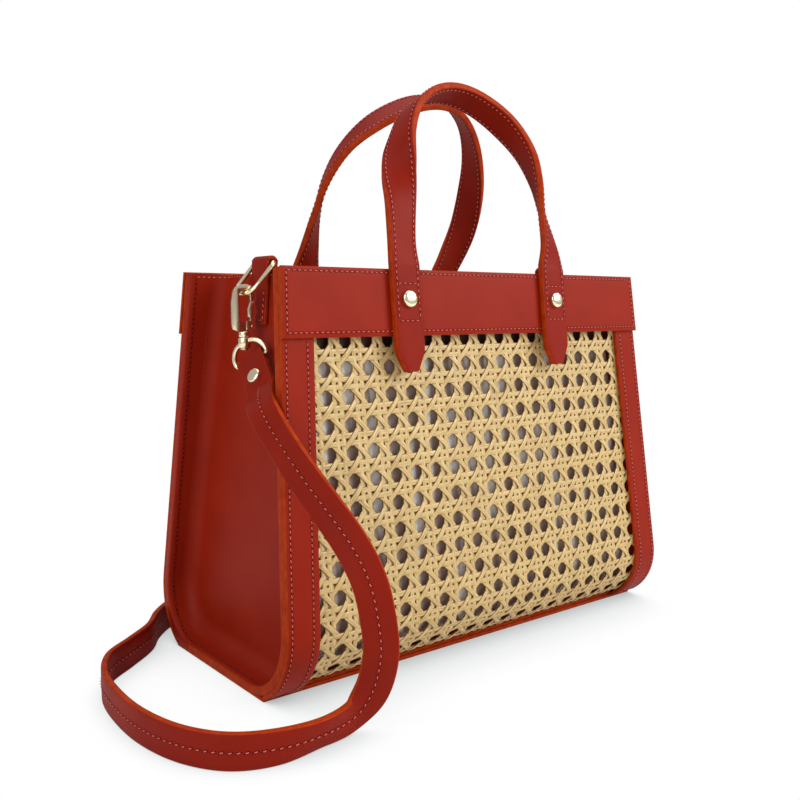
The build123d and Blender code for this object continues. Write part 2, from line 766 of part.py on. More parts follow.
left_pieces = {
    "ring_tab": left_tab,
    "ring": left_ring,
    "hook_body": left_hook_body,
    "gate_pin": left_gate_pin,
    "hook_gate": left_hook_gate,
    "bow": left_bow,
    "strap_screw": left_strap_screw,
}
for name, made in left_pieces.items():
    keep(made.part, f"left_{name}")
    with BuildPart() as other_side:
        add(made.part.rotate(Axis.Z, 180))
    keep(other_side.part, f"right_{name}")

os.makedirs("parts", exist_ok=True)
for piece in pieces:
    export_step(piece, f"parts/{piece.label}.step")
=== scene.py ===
# %% [markdown]
# # A box tote of leather and woven cane
#
# The bag stands on a pale floor with its shoulder strap in a loop beside it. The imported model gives
# every piece its place. This script gives each one the form and surface of the real thing: sheets of
# leather with painted edges, sewn through; cane woven in six directions; and polished fittings.
#
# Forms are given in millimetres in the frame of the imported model, and become metres when a mesh is
# made. Lights and textures are given in metres.

from math import asin, atan, cos, pi, radians, sin, sqrt, tan

import bmesh
import bpy
import numpy as np
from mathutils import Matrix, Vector


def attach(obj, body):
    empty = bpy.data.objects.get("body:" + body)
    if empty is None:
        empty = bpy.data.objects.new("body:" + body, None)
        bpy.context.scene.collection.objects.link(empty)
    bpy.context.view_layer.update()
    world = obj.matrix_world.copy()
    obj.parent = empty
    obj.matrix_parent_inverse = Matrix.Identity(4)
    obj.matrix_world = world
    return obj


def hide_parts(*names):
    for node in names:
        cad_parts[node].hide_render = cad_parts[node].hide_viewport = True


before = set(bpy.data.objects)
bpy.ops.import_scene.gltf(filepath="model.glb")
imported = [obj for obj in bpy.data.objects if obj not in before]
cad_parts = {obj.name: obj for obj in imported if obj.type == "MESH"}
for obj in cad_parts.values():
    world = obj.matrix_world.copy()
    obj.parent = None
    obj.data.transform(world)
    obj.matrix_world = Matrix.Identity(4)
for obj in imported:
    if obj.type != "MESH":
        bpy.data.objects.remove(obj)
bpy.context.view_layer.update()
MM = 0.001
X, Y, Z = Vector((1, 0, 0)), Vector((0, 1, 0)), Vector((0, 0, 1))

# %% [markdown]
# ## Sizes
# The walls lean inwards and their bottom corners are round, so one function gives half the width of a
# panel at a height, and another walks down the front and round the corner. With both, every sheet can
# be drawn flat, as it would be cut, and then laid on the bag.

# %% Sizes
HEIGHT = 200.0
TOP_WIDTH, BOTTOM_WIDTH = 246.0, 268.0
TOP_DEPTH, BOTTOM_DEPTH = 96.0, 140.0
CORNER, SINK = 34.0, 2.0
BAND, STILE, CANE, FLANGE = 2.0, 2.2, 1.8, 2.0
EDGE_DEPTH = 6.8
STILE_WIDTH, BAND_HEIGHT, FACING_HEIGHT = 17.2, 32.5, 30.0
BOARD_TOP = 4.0
SIDE_INSET, SIDE_LEAN = 14.5, 4.5
SLOPE = (BOTTOM_DEPTH - TOP_DEPTH) / 2 / HEIGHT
LEAN = atan(SLOPE)
ARC_Z = CORNER - SINK
ARC_Y = -(BOTTOM_DEPTH / 2 - ARC_Z * (BOTTOM_DEPTH - TOP_DEPTH) / 2 / HEIGHT) + CORNER / cos(LEAN)
FLAT_RUN = (HEIGHT - ARC_Z - CORNER * sin(LEAN)) / cos(LEAN)
ARC_RUN = (pi / 2 + LEAN) * CORNER


def half_width(z):
    """Half the width of the front at height z."""
    return (BOTTOM_WIDTH + (TOP_WIDTH - BOTTOM_WIDTH) * z / HEIGHT) / 2


def side_wall(z):
    """From the middle of the bag to the outer face of its side wall."""
    return half_width(z) - SIDE_INSET - SIDE_LEAN * z / HEIGHT


def profile(s, d):
    """(y, z) at s down the front wall from its top edge, and d behind its outer face."""
    if s <= FLAT_RUN:
        y = -TOP_DEPTH / 2 - s * sin(LEAN)
        z = HEIGHT - s * cos(LEAN)
        return y + d * cos(LEAN), z - d * sin(LEAN)
    if s <= FLAT_RUN + ARC_RUN:
        a = LEAN - (s - FLAT_RUN) / CORNER
        return ARC_Y - (CORNER - d) * cos(a), ARC_Z + (CORNER - d) * sin(a)
    return ARC_Y + s - FLAT_RUN - ARC_RUN, -SINK + d


def wall(x, s, d):
    """A point on the front wall."""
    return Vector((x, *profile(s, d)))


def turned(v):
    """The same point on the other side of the bag, half a turn about the upright axis."""
    return Vector((-v[0], -v[1], v[2]))


def down_to(z):
    """How far down the wall's outer face height z is."""
    if z >= ARC_Z + CORNER * sin(LEAN):
        return (HEIGHT - z) / cos(LEAN)
    return FLAT_RUN + (LEAN - asin(max(-1, (z - ARC_Z) / CORNER))) * CORNER


print("wall runs", round(FLAT_RUN, 1), "straight and", round(ARC_RUN, 1), "round the corner")

# %% [markdown]
# ## Camera, floor and light
# A long-ish lens stands a little above the bag, off its left front corner. One broad light from the
# right and front does most of the work, as a window would; a dim one fills the left side.

# %% Camera
scene = bpy.context.scene
scene.view_settings.view_transform = "Standard"
camera_data = bpy.data.cameras.new("camera")
camera = bpy.data.objects.new("camera", camera_data)
scene.collection.objects.link(camera)
scene.camera = camera
camera_data.sensor_width = 36
camera_data.lens = 40.88
camera_data.clip_start = 0.01
camera.location = Vector((-334.6, -401.2, 181.0)) * MM
yaw, pitch = radians(38.38), radians(5.75)
ahead = Vector((sin(yaw) * cos(pitch), cos(yaw) * cos(pitch), -sin(pitch)))
camera.rotation_euler = ahead.to_track_quat("-Z", "Y").to_euler()
print("camera", round(camera.location.length / MM), "mm from the middle of the bag's foot")

# %% [markdown]
# ### Floor and backdrop
# The photograph has no horizon: floor and wall are one white. A plain white floor would be lit unevenly,
# so the camera sees a floor that glows white and darkens only where the bag keeps the light from it.
# Light that bounces meets an ordinary pale floor.

# %% Floor and backdrop
CONTACT_REACH, ROOM_LIGHT = 0.07, 0.42


def node(tree, kind, inputs=(), **settings):
    """A node whose inputs, by name or number, take a value or another node's output."""
    new = tree.nodes.new(kind)
    for key, value in settings.items():
        setattr(new, key, value)
    for key, value in dict(inputs).items():
        if isinstance(value, bpy.types.NodeSocket):
            tree.links.new(value, new.inputs[key])
        else:
            new.inputs[key].default_value = value
    return new


def material(name):
    """A new material with its tree empty but for the output."""
    m = bpy.data.materials.new(name)
    m.use_nodes = True
    m.node_tree.nodes.clear()
    return m, m.node_tree, m.node_tree.nodes.new("ShaderNodeOutputMaterial")


def ramp(tree, value, stops):
    """A colour from a value, by (place, colour) stops."""
    elements = (r := node(tree, "ShaderNodeValToRGB", {"Fac": value})).color_ramp.elements
    for element, (place, color) in zip(elements, (stops[0], stops[-1])):
        element.position, element.color = place, (*color, 1)
    for place, color in stops[1:-1]:
        elements.new(place).color = (*color, 1)
    return r.outputs["Color"]


def by_camera(tree, out, seen, unseen):
    """The camera sees one shader, and light that bounces meets the other."""
    ray = node(tree, "ShaderNodeLightPath").outputs["Is Camera Ray"]
    mix = node(tree, "ShaderNodeMixShader", {0: ray, 1: unseen.outputs[0], 2: seen.outputs[0]})
    tree.links.new(mix.outputs[0], out.inputs["Surface"])


floor_mat, tree, out = material("pale floor")
near = node(tree, "ShaderNodeAmbientOcclusion", {"Distance": CONTACT_REACH}, samples=12)
shades = [(0.0, (0.36, 0.36, 0.36)), (0.4, (0.76, 0.78, 0.77)), (0.76, (1, 1, 1))]
tone = ramp(tree, near.outputs["AO"], shades)
glow = node(tree, "ShaderNodeEmission", {"Color": tone, "Strength": 1.0})
pale = node(tree, "ShaderNodeBsdfDiffuse", {"Color": (0.86, 0.86, 0.86, 1)})
by_camera(tree, out, glow, pale)

floor_mesh = bpy.data.meshes.new("floor")
floor_mesh.from_pydata([(-6, -6, 0), (6, -6, 0), (6, 6, 0), (-6, 6, 0)], [], [(0, 1, 2, 3)])
floor_mesh.materials.append(floor_mat)
floor_piece = bpy.data.objects.new("floor", floor_mesh)
scene.collection.objects.link(floor_piece)

world = bpy.data.worlds.new("studio")
scene.world = world
world.use_nodes = True
tree = world.node_tree
tree.nodes.clear()
white = node(tree, "ShaderNodeBackground", {"Color": (1, 1, 1, 1), "Strength": 1.0})
room = node(tree, "ShaderNodeBackground", {"Color": (1.0, 0.99, 0.98, 1), "Strength": ROOM_LIGHT})
by_camera(tree, node(tree, "ShaderNodeOutputWorld"), white, room)


def area_light(name, place, size, power):
    """A square soft light that looks at the middle of the bag."""
    data = bpy.data.lights.new(name, "AREA")
    data.shape, data.size, data.energy = "SQUARE", size, power
    lamp = bpy.data.objects.new(name, data)
    lamp.location = Vector(place)
    lamp.rotation_euler = (Z * 0.1 - Vector(place)).to_track_quat("-Z", "Y").to_euler()
    scene.collection.objects.link(lamp)


area_light("key", (1.0, -1.2, 0.95), 0.9, 21)
area_light("fill", (-1.4, -0.5, 0.9), 1.2, 10)
area_light("top", (0.0, 0.2, 1.7), 1.2, 9)

# %% [markdown]
# ## Surfaces
# Leather has a fine pebble grain and a faint mottle of tone. Its cut edges are sealed with orange
# paint. The cane is satin along each strand, with streaks that follow it, and its sides are darkened
# with painted shade for the shadow in the gaps of the weave. All of it is made from noise in the
# piece's own coordinates, so it stays on the piece when the piece moves.

# %% Surfaces
def principled(name, color, rough, metallic=0.0, coat=0.0, specular=0.5):
    """A plain material, its tree and its shader."""
    m, tree, out = material(name)
    shader = node(tree, "ShaderNodeBsdfPrincipled", {
        "Base Color": (*color, 1), "Roughness": rough, "Metallic": metallic, "Coat Weight": coat,
        "Specular IOR Level": specular,
    })
    tree.links.new(shader.outputs[0], out.inputs["Surface"])
    return m, tree, shader


def noise(tree, vector, scale, detail=2.0, rough=0.5):
    """A value that drifts from place to place."""
    inputs = {"Vector": vector, "Scale": scale, "Detail": detail, "Roughness": rough}
    return node(tree, "ShaderNodeTexNoise", inputs).outputs["Fac"]


def bump(tree, shader, height, strength, distance):
    """Gives a shader a relief."""
    raised = node(tree, "ShaderNodeBump", {"Strength": strength, "Distance": distance, "Height": height})
    tree.links.new(raised.outputs["Normal"], shader.inputs["Normal"])


def multiplied(tree, a, b):
    """One colour darkened by another."""
    mix = node(tree, "ShaderNodeMix", {0: 1.0, 6: a, 7: b}, data_type="RGBA", blend_type="MULTIPLY")
    return mix.outputs[2]


def stretched(tree, vector, scale):
    """Coordinates scaled along each axis."""
    return node(tree, "ShaderNodeMapping", {"Vector": vector, "Scale": scale}).outputs["Vector"]


def object_coords(tree):
    """Places in the piece's own frame, in metres."""
    return node(tree, "ShaderNodeTexCoord").outputs["Object"]


def leather(name, dark, light, rough):
    """Leather with a mottle between two tones and a pebble grain."""
    m, tree, shader = principled(name, light, rough, specular=0.1)
    where = object_coords(tree)
    tone = ramp(tree, noise(tree, where, 45, 3), [(0.3, dark), (0.7, light)])
    tree.links.new(tone, shader.inputs["Base Color"])
    cells = node(tree, "ShaderNodeTexVoronoi", {"Vector": where, "Scale": 1500})
    bump(tree, shader, cells.outputs["Distance"], 0.12, 0.0002)
    return m


brick = leather("brick leather", (0.258, 0.0125, 0.0030), (0.292, 0.0155, 0.0036), 0.46)
trim = leather("trim leather", (0.222, 0.0090, 0.0022), (0.255, 0.0115, 0.0027), 0.5)
paint, tree, shader = principled("edge paint", (0.36, 0.032, 0.002), 0.5, specular=0.08)
where = object_coords(tree)
tone = ramp(tree, noise(tree, where, 260, 3), [(0.3, (0.30, 0.022, 0.0015)), (0.7, (0.41, 0.042, 0.003))])
tree.links.new(tone, shader.inputs["Base Color"])
bump(tree, shader, noise(tree, where, 900, 2), 0.15, 0.0003)

thread = principled("thread", (0.58, 0.115, 0.085), 0.6)[0]
fine_thread = principled("fine thread", (0.36, 0.040, 0.030), 0.7, specular=0.1)[0]
# painted shade: the needle slots are flat dark discs that stand for the shade inside each hole
hole_shade = principled("needle hole", (0.105, 0.004, 0.002), 0.9, specular=0.0)[0]

gold, tree, shader = principled("gold metal", (0.97, 0.86, 0.60), 0.2, metallic=1.0)
bump(tree, shader, noise(tree, object_coords(tree), 700, 2), 0.03, 0.0002)

cane_mat, tree, shader = principled("cane", (0.60, 0.42, 0.17), 0.45, coat=0.12)
uv = node(tree, "ShaderNodeUVMap", uv_map="strand")
streaks = noise(tree, stretched(tree, uv.outputs["UV"], (1.6, 0.04, 1)), 1.0, 4, 0.6)
shades = [(0.30, (0.40, 0.25, 0.080)), (0.5, (0.60, 0.42, 0.165)), (0.72, (0.74, 0.55, 0.25))]
grain = ramp(tree, streaks, shades)
# painted shade: each strand darkens to brown at its sides, for the shadow in the gaps of the weave
across = node(tree, "ShaderNodeAttribute", attribute_name="side")
rim = node(tree, "ShaderNodeMath", {0: across.outputs["Fac"]}, operation="ABSOLUTE")
painted_side_shade = ramp(tree, rim.outputs[0], [(0.80, (1, 1, 1)), (1.0, (0.30, 0.17, 0.08))])
tree.links.new(multiplied(tree, grain, painted_side_shade), shader.inputs["Base Color"])
bump(tree, shader, streaks, 0.25, 0.0003)

# the lining's colour holds painted highlights in upright streaks, where its satin folds catch the light,
# and painted shade above the band's lower edge
SHADE_FROM, SHADE_TO = 0.158, 0.1605
lining_mat, tree, shader = principled("satin lining", (0.42, 0.35, 0.33), 0.5)
where = object_coords(tree)
# painted highlights: pale upright streaks where the satin's folds catch the light
folds = noise(tree, stretched(tree, where, (1, 1, 0.06)), 120, 1)
shades = [(0.42, (0.36, 0.25, 0.20)), (0.52, (0.46, 0.35, 0.30)), (0.60, (0.92, 0.88, 0.84))]
cloth_with_highlights = ramp(tree, folds, shades)
# painted shade: darker towards the top, above the band's lower edge, where the band and facing shade the
# lining
height = node(tree, "ShaderNodeSeparateXYZ", {0: where}).outputs["Z"]
under = node(tree, "ShaderNodeMapRange", {"Value": height, "From Min": SHADE_FROM, "From Max": SHADE_TO})
painted_top_shade = ramp(tree, under.outputs[0], [(0.0, (1, 1, 1)), (1.0, (0.10, 0.045, 0.035))])
tree.links.new(multiplied(tree, cloth_with_highlights, painted_top_shade), shader.inputs["Base Color"])
print(len(bpy.data.materials), "materials")

# %% [markdown]
# ## Making meshes
# Every leather piece is a sheet: two faces and a rim that is rounded and painted. `sheet` cuts one
# from the wall between two heights and two sides. `ribbon` makes a band that bends and twists, `tube`
# a wire ring, `lathe` a turned piece and `prism` a flat piece cut to an outline.

# %% Meshes
def quads(a, b):
    """Faces between two closed rings of points."""
    n = len(a)
    return [(a[i], a[(i + 1) % n], b[(i + 1) % n], b[i]) for i in range(n)]


def strip(a, b):
    """Faces between two open rows of points."""
    return [(a[i], a[i + 1], b[i + 1], b[i]) for i in range(len(a) - 1)]


def plain_mesh(name, points, faces):
    """A smooth mesh from points in millimetres."""
    me = bpy.data.meshes.new(name)
    me.from_pydata([Vector(p) * MM for p in points], [], faces)
    me.polygons.foreach_set("use_smooth", [True] * len(me.polygons))
    return me


def make(name, points, faces, mats, picks=None, sharp=38):
    """A mesh object with sharp edges kept and its faces turned outwards."""
    me = plain_mesh(name, points, faces)
    for m in mats:
        me.materials.append(m)
    if picks:
        me.polygons.foreach_set("material_index", picks)
    me.set_sharp_from_angle(angle=radians(sharp))
    me.update()
    bm = bmesh.new()
    bm.from_mesh(me)
    bmesh.ops.recalc_face_normals(bm, faces=bm.faces)
    bm.to_mesh(me)
    bm.free()
    ob = bpy.data.objects.new(name, me)
    scene.collection.objects.link(ob)
    return ob


def seat(ob, slot, *nodes, body="bag"):
    """The piece rides on a body and stands for CAD nodes, which are hidden. The slot is not used."""
    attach(ob, body)
    if nodes:
        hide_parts(*nodes)


def rim_steps(thick, edge):
    """(inset, depth) from one face of a sheet over its rounded rim to the other face."""
    steps = [(edge * (1 - sin(a)), edge * (1 - cos(a))) for a in (0, pi / 6, pi / 3, pi / 2)]
    return steps + [(inset, thick - depth) for inset, depth in reversed(steps)]


def sheet(name, left, right, top, bottom, near, far, back, nx, ns, edge=0.5):
    """A sheet on the wall. left and right give x at a distance down the wall."""
    points, faces, picks = [], [], []

    def put(i, j, inset, depth):
        s = top + inset + (bottom - top - 2 * inset) * j / ns
        x0, x1 = left(s) + inset, right(s) - inset
        p = wall(x0 + (x1 - x0) * i / nx, s, near + depth)
        points.append(turned(p) if back else p)
        return len(points) - 1

    steps = rim_steps(far - near, edge)
    around = [(i, 0) for i in range(nx)] + [(nx, j) for j in range(ns)]
    around += [(i, ns) for i in range(nx, 0, -1)] + [(0, j) for j in range(ns, 0, -1)]
    sides = []
    for step in (steps[0], steps[-1]):
        grid = [[put(i, j, *step) for i in range(nx + 1)] for j in range(ns + 1)]
        sides.append(grid)
        for j in range(ns):
            for i in range(nx):
                quad = (grid[j][i], grid[j + 1][i], grid[j + 1][i + 1], grid[j][i + 1])
                faces.append(quad if step == steps[0] else quad[::-1])
                picks.append(0)
    rings = [[sides[0][j][i] for i, j in around]]
    rings += [[put(i, j, *step) for i, j in around] for step in steps[1:-1]]
    rings.append([sides[1][j][i] for i, j in around])
    for k, (a, b) in enumerate(zip(rings, rings[1:])):
        faces += quads(a, b)
        picks += [0 if k in (0, len(rings) - 2) else 1] * len(a)
    return make(name, points, faces, [brick, paint], picks)


def between(values, t):
    """A vector at t on a smooth curve through the values, where t counts them from 0."""
    i = min(int(t), len(values) - 2)
    f = t - i
    before = values[max(i - 1, 0)]
    here, there = values[i], values[i + 1]
    after = values[min(i + 2, len(values) - 1)]
    straight = (there - before) * f
    curve = (before * 2 - here * 5 + there * 4 - after) * f**2
    turn = (here * 3 - before - there * 3 + after) * f**3
    return here + (straight + curve + turn) * 0.5


def stations(points, across, steps, first=None, last=None):
    """(middle, across, along, up) at steps between the points of a band."""
    out = []
    count = (len(points) - 1) * steps
    for k in range(count + 1):
        t = k / steps
        ahead = between(points, min(t + 0.05, len(points) - 1))
        behind = between(points, max(t - 0.05, 0))
        along = (ahead - behind).normalized()
        if k == 0 and first:
            along = first
        if k == count and last:
            along = last
        w = between(across, t)
        w = (w - along * w.dot(along)).normalized()
        out.append((between(points, t), w, along, along.cross(w)))
    return out


def ribbon(name, places, widths, thick, edge, crown=0.0):
    """A band through the stations, with rounded and painted edges and closed ends."""
    points, faces, picks, rings = [], [], [], []
    flat, t = 4, thick / 2
    for (middle, across, along, up), width in zip(places, widths):
        w = width / 2
        loop = [(-w + edge + (2 * w - 2 * edge) * i / flat, t) for i in range(flat + 1)]
        loop += [(w - edge * (1 - sin(a)), t - edge * (1 - cos(a))) for a in (pi / 6, pi / 3, pi / 2)]
        loop += [(x, -h) for x, h in reversed(loop[flat + 1:])]
        loop += [(w - edge - (2 * w - 2 * edge) * i / flat, -t) for i in range(flat + 1)]
        loop += [(-x, -h) for x, h in loop[flat + 1:flat + 7]]
        rings.append(range(len(points), len(points) + len(loop)))
        for x, h in loop:
            lift = crown * (1 - (x / w) ** 2) * (1 if h > 0 else -1) if abs(h) == t else 0
            points.append(middle + across * x + up * (h + lift))
    kinds = ([0] * (flat + 1) + [1] * 5 + [0]) * 2
    for a, b in zip(rings, rings[1:]):
        faces += quads(a, b)
        picks += [kinds[i % len(kinds)] for i in range(len(a))]
    faces += [tuple(rings[0]), tuple(reversed(rings[-1]))]
    return make(name, points, faces, [trim, paint], picks + [1, 1])


def circle(middle, side, other, radius, sides):
    """Points round a circle, from two directions at right angles."""
    turns = [2 * pi * i / sides for i in range(sides)]
    return [middle + side * (cos(a) * radius) + other * (sin(a) * radius) for a in turns]


def tube(name, path, radius, sides=14):
    """A round wire along a closed path of points."""
    points, faces = [], []
    n = len(path)
    up = None
    for k in range(n):
        along = (path[(k + 1) % n] - path[k - 1]).normalized()
        up = up or along.orthogonal().normalized()
        up = (up - along * up.dot(along)).normalized()
        points += circle(path[k], up, along.cross(up), radius, sides)
    rings = [range(k * sides, (k + 1) * sides) for k in range(n)]
    for k in range(n):
        faces += quads(rings[k], rings[(k + 1) % n])
    return make(name, points, faces, [gold])


def lathe(name, origin, axis, outline, sides=32):
    """A turned piece of metal: outline is (radius, height) from one end to the other."""
    axis = axis.normalized()
    side = axis.orthogonal().normalized()
    points, faces = [], []
    for r, h in outline:
        points += circle(origin + axis * h, side, axis.cross(side), r, sides)
    rings = [range(k * sides, (k + 1) * sides) for k in range(len(outline))]
    for a, b in zip(rings, rings[1:]):
        faces += quads(a, b)
    faces += [tuple(reversed(rings[0])), tuple(rings[-1])]
    return make(name, points, faces, [gold], sharp=50)


def prism(name, plane, outline, low, high, bevel, mat):
    """A flat piece cut to an outline in a plane (origin, x_dir, y_dir), with softened edges."""
    origin, x_dir, y_dir = plane
    z_dir = x_dir.cross(y_dir)
    n = len(outline)
    points = [origin + x_dir * x + y_dir * y + z_dir * h for h in (low, high) for x, y in outline]
    faces = [tuple(range(n - 1, -1, -1)), tuple(range(n, 2 * n))] + quads(range(n), range(n, 2 * n))
    ob = make(name, points, faces, [mat])
    bm = bmesh.new()
    bm.from_mesh(ob.data)
    edges = [e for e in bm.edges if e.calc_face_angle(0) > radians(25)]
    bmesh.ops.bevel(
        bm, geom=edges, offset=bevel * MM, segments=2, profile=0.6, affect="EDGES", clamp_overlap=True,
    )
    bm.to_mesh(ob.data)
    bm.free()
    ob.data.polygons.foreach_set("use_smooth", [True] * len(ob.data.polygons))
    ob.data.set_sharp_from_angle(angle=radians(45))
    return ob


# %% [markdown]
# ## Sewing
# A stitch is a short slanted length of thread that dips into a needle slot, a flat disc painted dark
# as the shade in the hole. Geometry Nodes puts one at every point of a line of sewing and turns it
# along the line and flat on the leather. Thousands of stitches then cost one small mesh each kind,
# and a row is moved by moving its line.

# %% Sewing
CLOSE_PITCH, BAND_PITCH, TAB_PITCH, HANDLE_PITCH, STRAP_PITCH = 2.6, 2.9, 2.8, 3.0, 3.4
SLANT = radians(14)


def shape_object(name, points, faces):
    """A small shape in a hidden object, to be set out by nodes."""
    return bpy.data.objects.new(name, plain_mesh(name, points, faces))


def stitch_shape(name, length, radius, sides=6, rows=6):
    """A short thread along X whose ends dip into the leather."""
    points, faces = [], []
    for k in range(rows + 1):
        f = k / rows * 2 - 1
        r = radius * sqrt(max(0.02, 1 - abs(f) ** 3))
        lift = radius * 0.55 * (1 - f * f) - radius * 0.25
        turns = [2 * pi * i / sides for i in range(sides)]
        points += [(f * length / 2, cos(a) * r, sin(a) * r + lift) for a in turns]
    for k in range(rows):
        faces += quads(range(k * sides, (k + 1) * sides), range((k + 1) * sides, (k + 2) * sides))
    return shape_object(name, points, faces)


def hole_shape(name, length, radius, sides=12):
    """The slot that a needle leaves, flat on the leather: a disc painted dark as the shade in the hole."""
    turns = [2 * pi * i / sides for i in range(sides)]
    points = [(cos(a) * length / 2, sin(a) * radius, 0.05) for a in turns]
    return shape_object(name, points, [tuple(range(sides))])


thread_shape = stitch_shape("thread_shape", 1.9, 0.30)
holes_shape = hole_shape("holes_shape", 2.9, 0.55)
fine_shape = stitch_shape("fine_shape", 1.7, 0.20)


def node_group(name, inputs, output):
    """A Geometry Nodes tree with named inputs and one output."""
    tree = bpy.data.node_groups.new(name, "GeometryNodeTree")
    for key, kind in inputs:
        tree.interface.new_socket(key, in_out="INPUT", socket_type="NodeSocket" + kind)
    tree.interface.new_socket(output, in_out="OUTPUT", socket_type="NodeSocketGeometry")
    return tree, node(tree, "NodeGroupInput").outputs, node(tree, "NodeGroupOutput")


def set_out(tree, points, shape, finish, rotation=None):
    """A shape set at every point, made real, with a material."""
    info = node(tree, "GeometryNodeObjectInfo", {"Object": shape})
    put = node(tree, "GeometryNodeInstanceOnPoints", {"Points": points, "Instance": info.outputs["Geometry"]})
    if rotation:
        tree.links.new(rotation, put.inputs["Rotation"])
    real = node(tree, "GeometryNodeRealizeInstances", {"Geometry": put.outputs["Instances"]})
    dress = node(tree, "GeometryNodeSetMaterial", {"Geometry": real.outputs["Geometry"], "Material": finish})
    return dress.outputs["Geometry"]


def named(tree, name):
    """A direction that is kept at every point."""
    kind = "GeometryNodeInputNamedAttribute"
    return node(tree, kind, {"Name": name}, data_type="FLOAT_VECTOR").outputs["Attribute"]


def sewing_tree():
    """Nodes that set a stitch and its slot at every point of a mesh."""
    tree, into, out = node_group("sewing", (
        ("Line", "Geometry"), ("Thread", "Object"), ("Holes", "Object"), ("Slant", "Float"),
        ("Yarn", "Material"),
    ), "Sewn")
    align = "FunctionNodeAlignRotationToVector"
    stand = node(tree, align, {"Vector": named(tree, "up")}, axis="Z")
    facing = {"Rotation": stand.outputs["Rotation"], "Vector": named(tree, "way")}
    turn = node(tree, align, facing, axis="X", pivot_axis="Z")
    lean = node(tree, "FunctionNodeAxisAngleToRotation", {"Axis": (0, 0, 1), "Angle": into["Slant"]})
    spin = {"Rotation": turn.outputs["Rotation"], "Rotate By": lean.outputs["Rotation"]}
    both = node(tree, "FunctionNodeRotateRotation", spin, rotation_space="LOCAL").outputs["Rotation"]
    join = node(tree, "GeometryNodeJoinGeometry")
    for shape, finish in ((into["Holes"], hole_shade), (into["Thread"], into["Yarn"])):
        tree.links.new(set_out(tree, into["Line"], shape, finish, both), join.inputs["Geometry"])
    tree.links.new(join.outputs["Geometry"], out.inputs["Sewn"])
    return tree


sewing = sewing_tree()


def made_by_nodes(name, start, tree, values):
    """The plain object that a tree makes from a mesh and its input values."""
    ob = bpy.data.objects.new(name, start)
    scene.collection.objects.link(ob)
    mod = ob.modifiers.new(tree.name, "NODES")
    mod.node_group = tree
    ids = {item.name: item.identifier for item in tree.interface.items_tree if item.in_out == "INPUT"}
    for key, value in values.items():
        mod[ids[key]] = value
    ob.update_tag()
    graph = bpy.context.evaluated_depsgraph_get()
    me = bpy.data.meshes.new_from_object(ob.evaluated_get(graph))
    me.name = name
    bpy.data.objects.remove(ob)
    new = bpy.data.objects.new(name, me)
    scene.collection.objects.link(new)
    return new


all_sewing, fine_sewing = [], []


def sew(spots, fine=False):
    """Adds (point, way, up) spots to the bag's sewing."""
    (fine_sewing if fine else all_sewing).extend(spots)


def sewn_line(name, spots, shape, yarn):
    """The stitches of some spots, as one piece on the bag."""
    me = bpy.data.meshes.new(name)
    me.from_pydata([Vector(p) * MM for p, way, up in spots], [], [])
    for key, k in (("way", 1), ("up", 2)):
        att = me.attributes.new(key, "FLOAT_VECTOR", "POINT")
        att.data.foreach_set("vector", [c for spot in spots for c in spot[k]])
    values = {"Thread": shape, "Yarn": yarn, "Holes": holes_shape, "Slant": SLANT}
    seat(made_by_nodes(name, me, sewing, values), "leather")


def along_line(a, b, up, pitch):
    """Spots at a pitch from a to b."""
    n = max(1, round((b - a).length / pitch))
    way = (b - a).normalized()
    return [(a + (b - a) * ((k + 0.5) / n), way, up) for k in range(n)]


def along_path(path, pitch):
    """Spots at a pitch along a path of (point, up)."""
    runs = [0.0]
    for (p, u), (q, v) in zip(path, path[1:]):
        runs.append(runs[-1] + (q - p).length)
    n = max(1, round(runs[-1] / pitch))
    spots, i = [], 0
    for k in range(n):
        d = (k + 0.5) * runs[-1] / n
        while runs[i + 1] < d:
            i += 1
        f = (d - runs[i]) / (runs[i + 1] - runs[i])
        (p, u), (q, v) = path[i], path[i + 1]
        spots.append((p.lerp(q, f), (q - p).normalized(), u.lerp(v, f).normalized()))
    return spots


def wall_path(line, depth, inward=False, back=False):
    """(point, up) for a line of (x, s) on the wall at a depth."""
    out = []
    for x, s in line:
        p, q = wall(x, s, depth), wall(x, s, depth + 1)
        up = (q - p) if inward else (p - q)
        out.append((turned(p), turned(up)) if back else (p, up))
    return out


# %% [markdown]
# ## Front and back
# Two stiles stand at the sides of the cane, and the band lies across its top. The lines of sewing run
# about two millimetres from each edge, right through to the flanges of the side walls. The back is
# the same set of sheets, turned half round.

# %% Front and back
STILE_ROWS, BAND_ROW, BAND_FOOT_ROW, FACING_ROW = (2.2, 13.5), 1.8, 2.4, 26.5


def z_of(s):
    """The height at s down the wall."""
    return profile(s, 0)[1]


def edge_line(side, inset):
    """x at a distance down the wall, for a line inside one edge."""
    return lambda s: side * (half_width(z_of(s)) - inset)


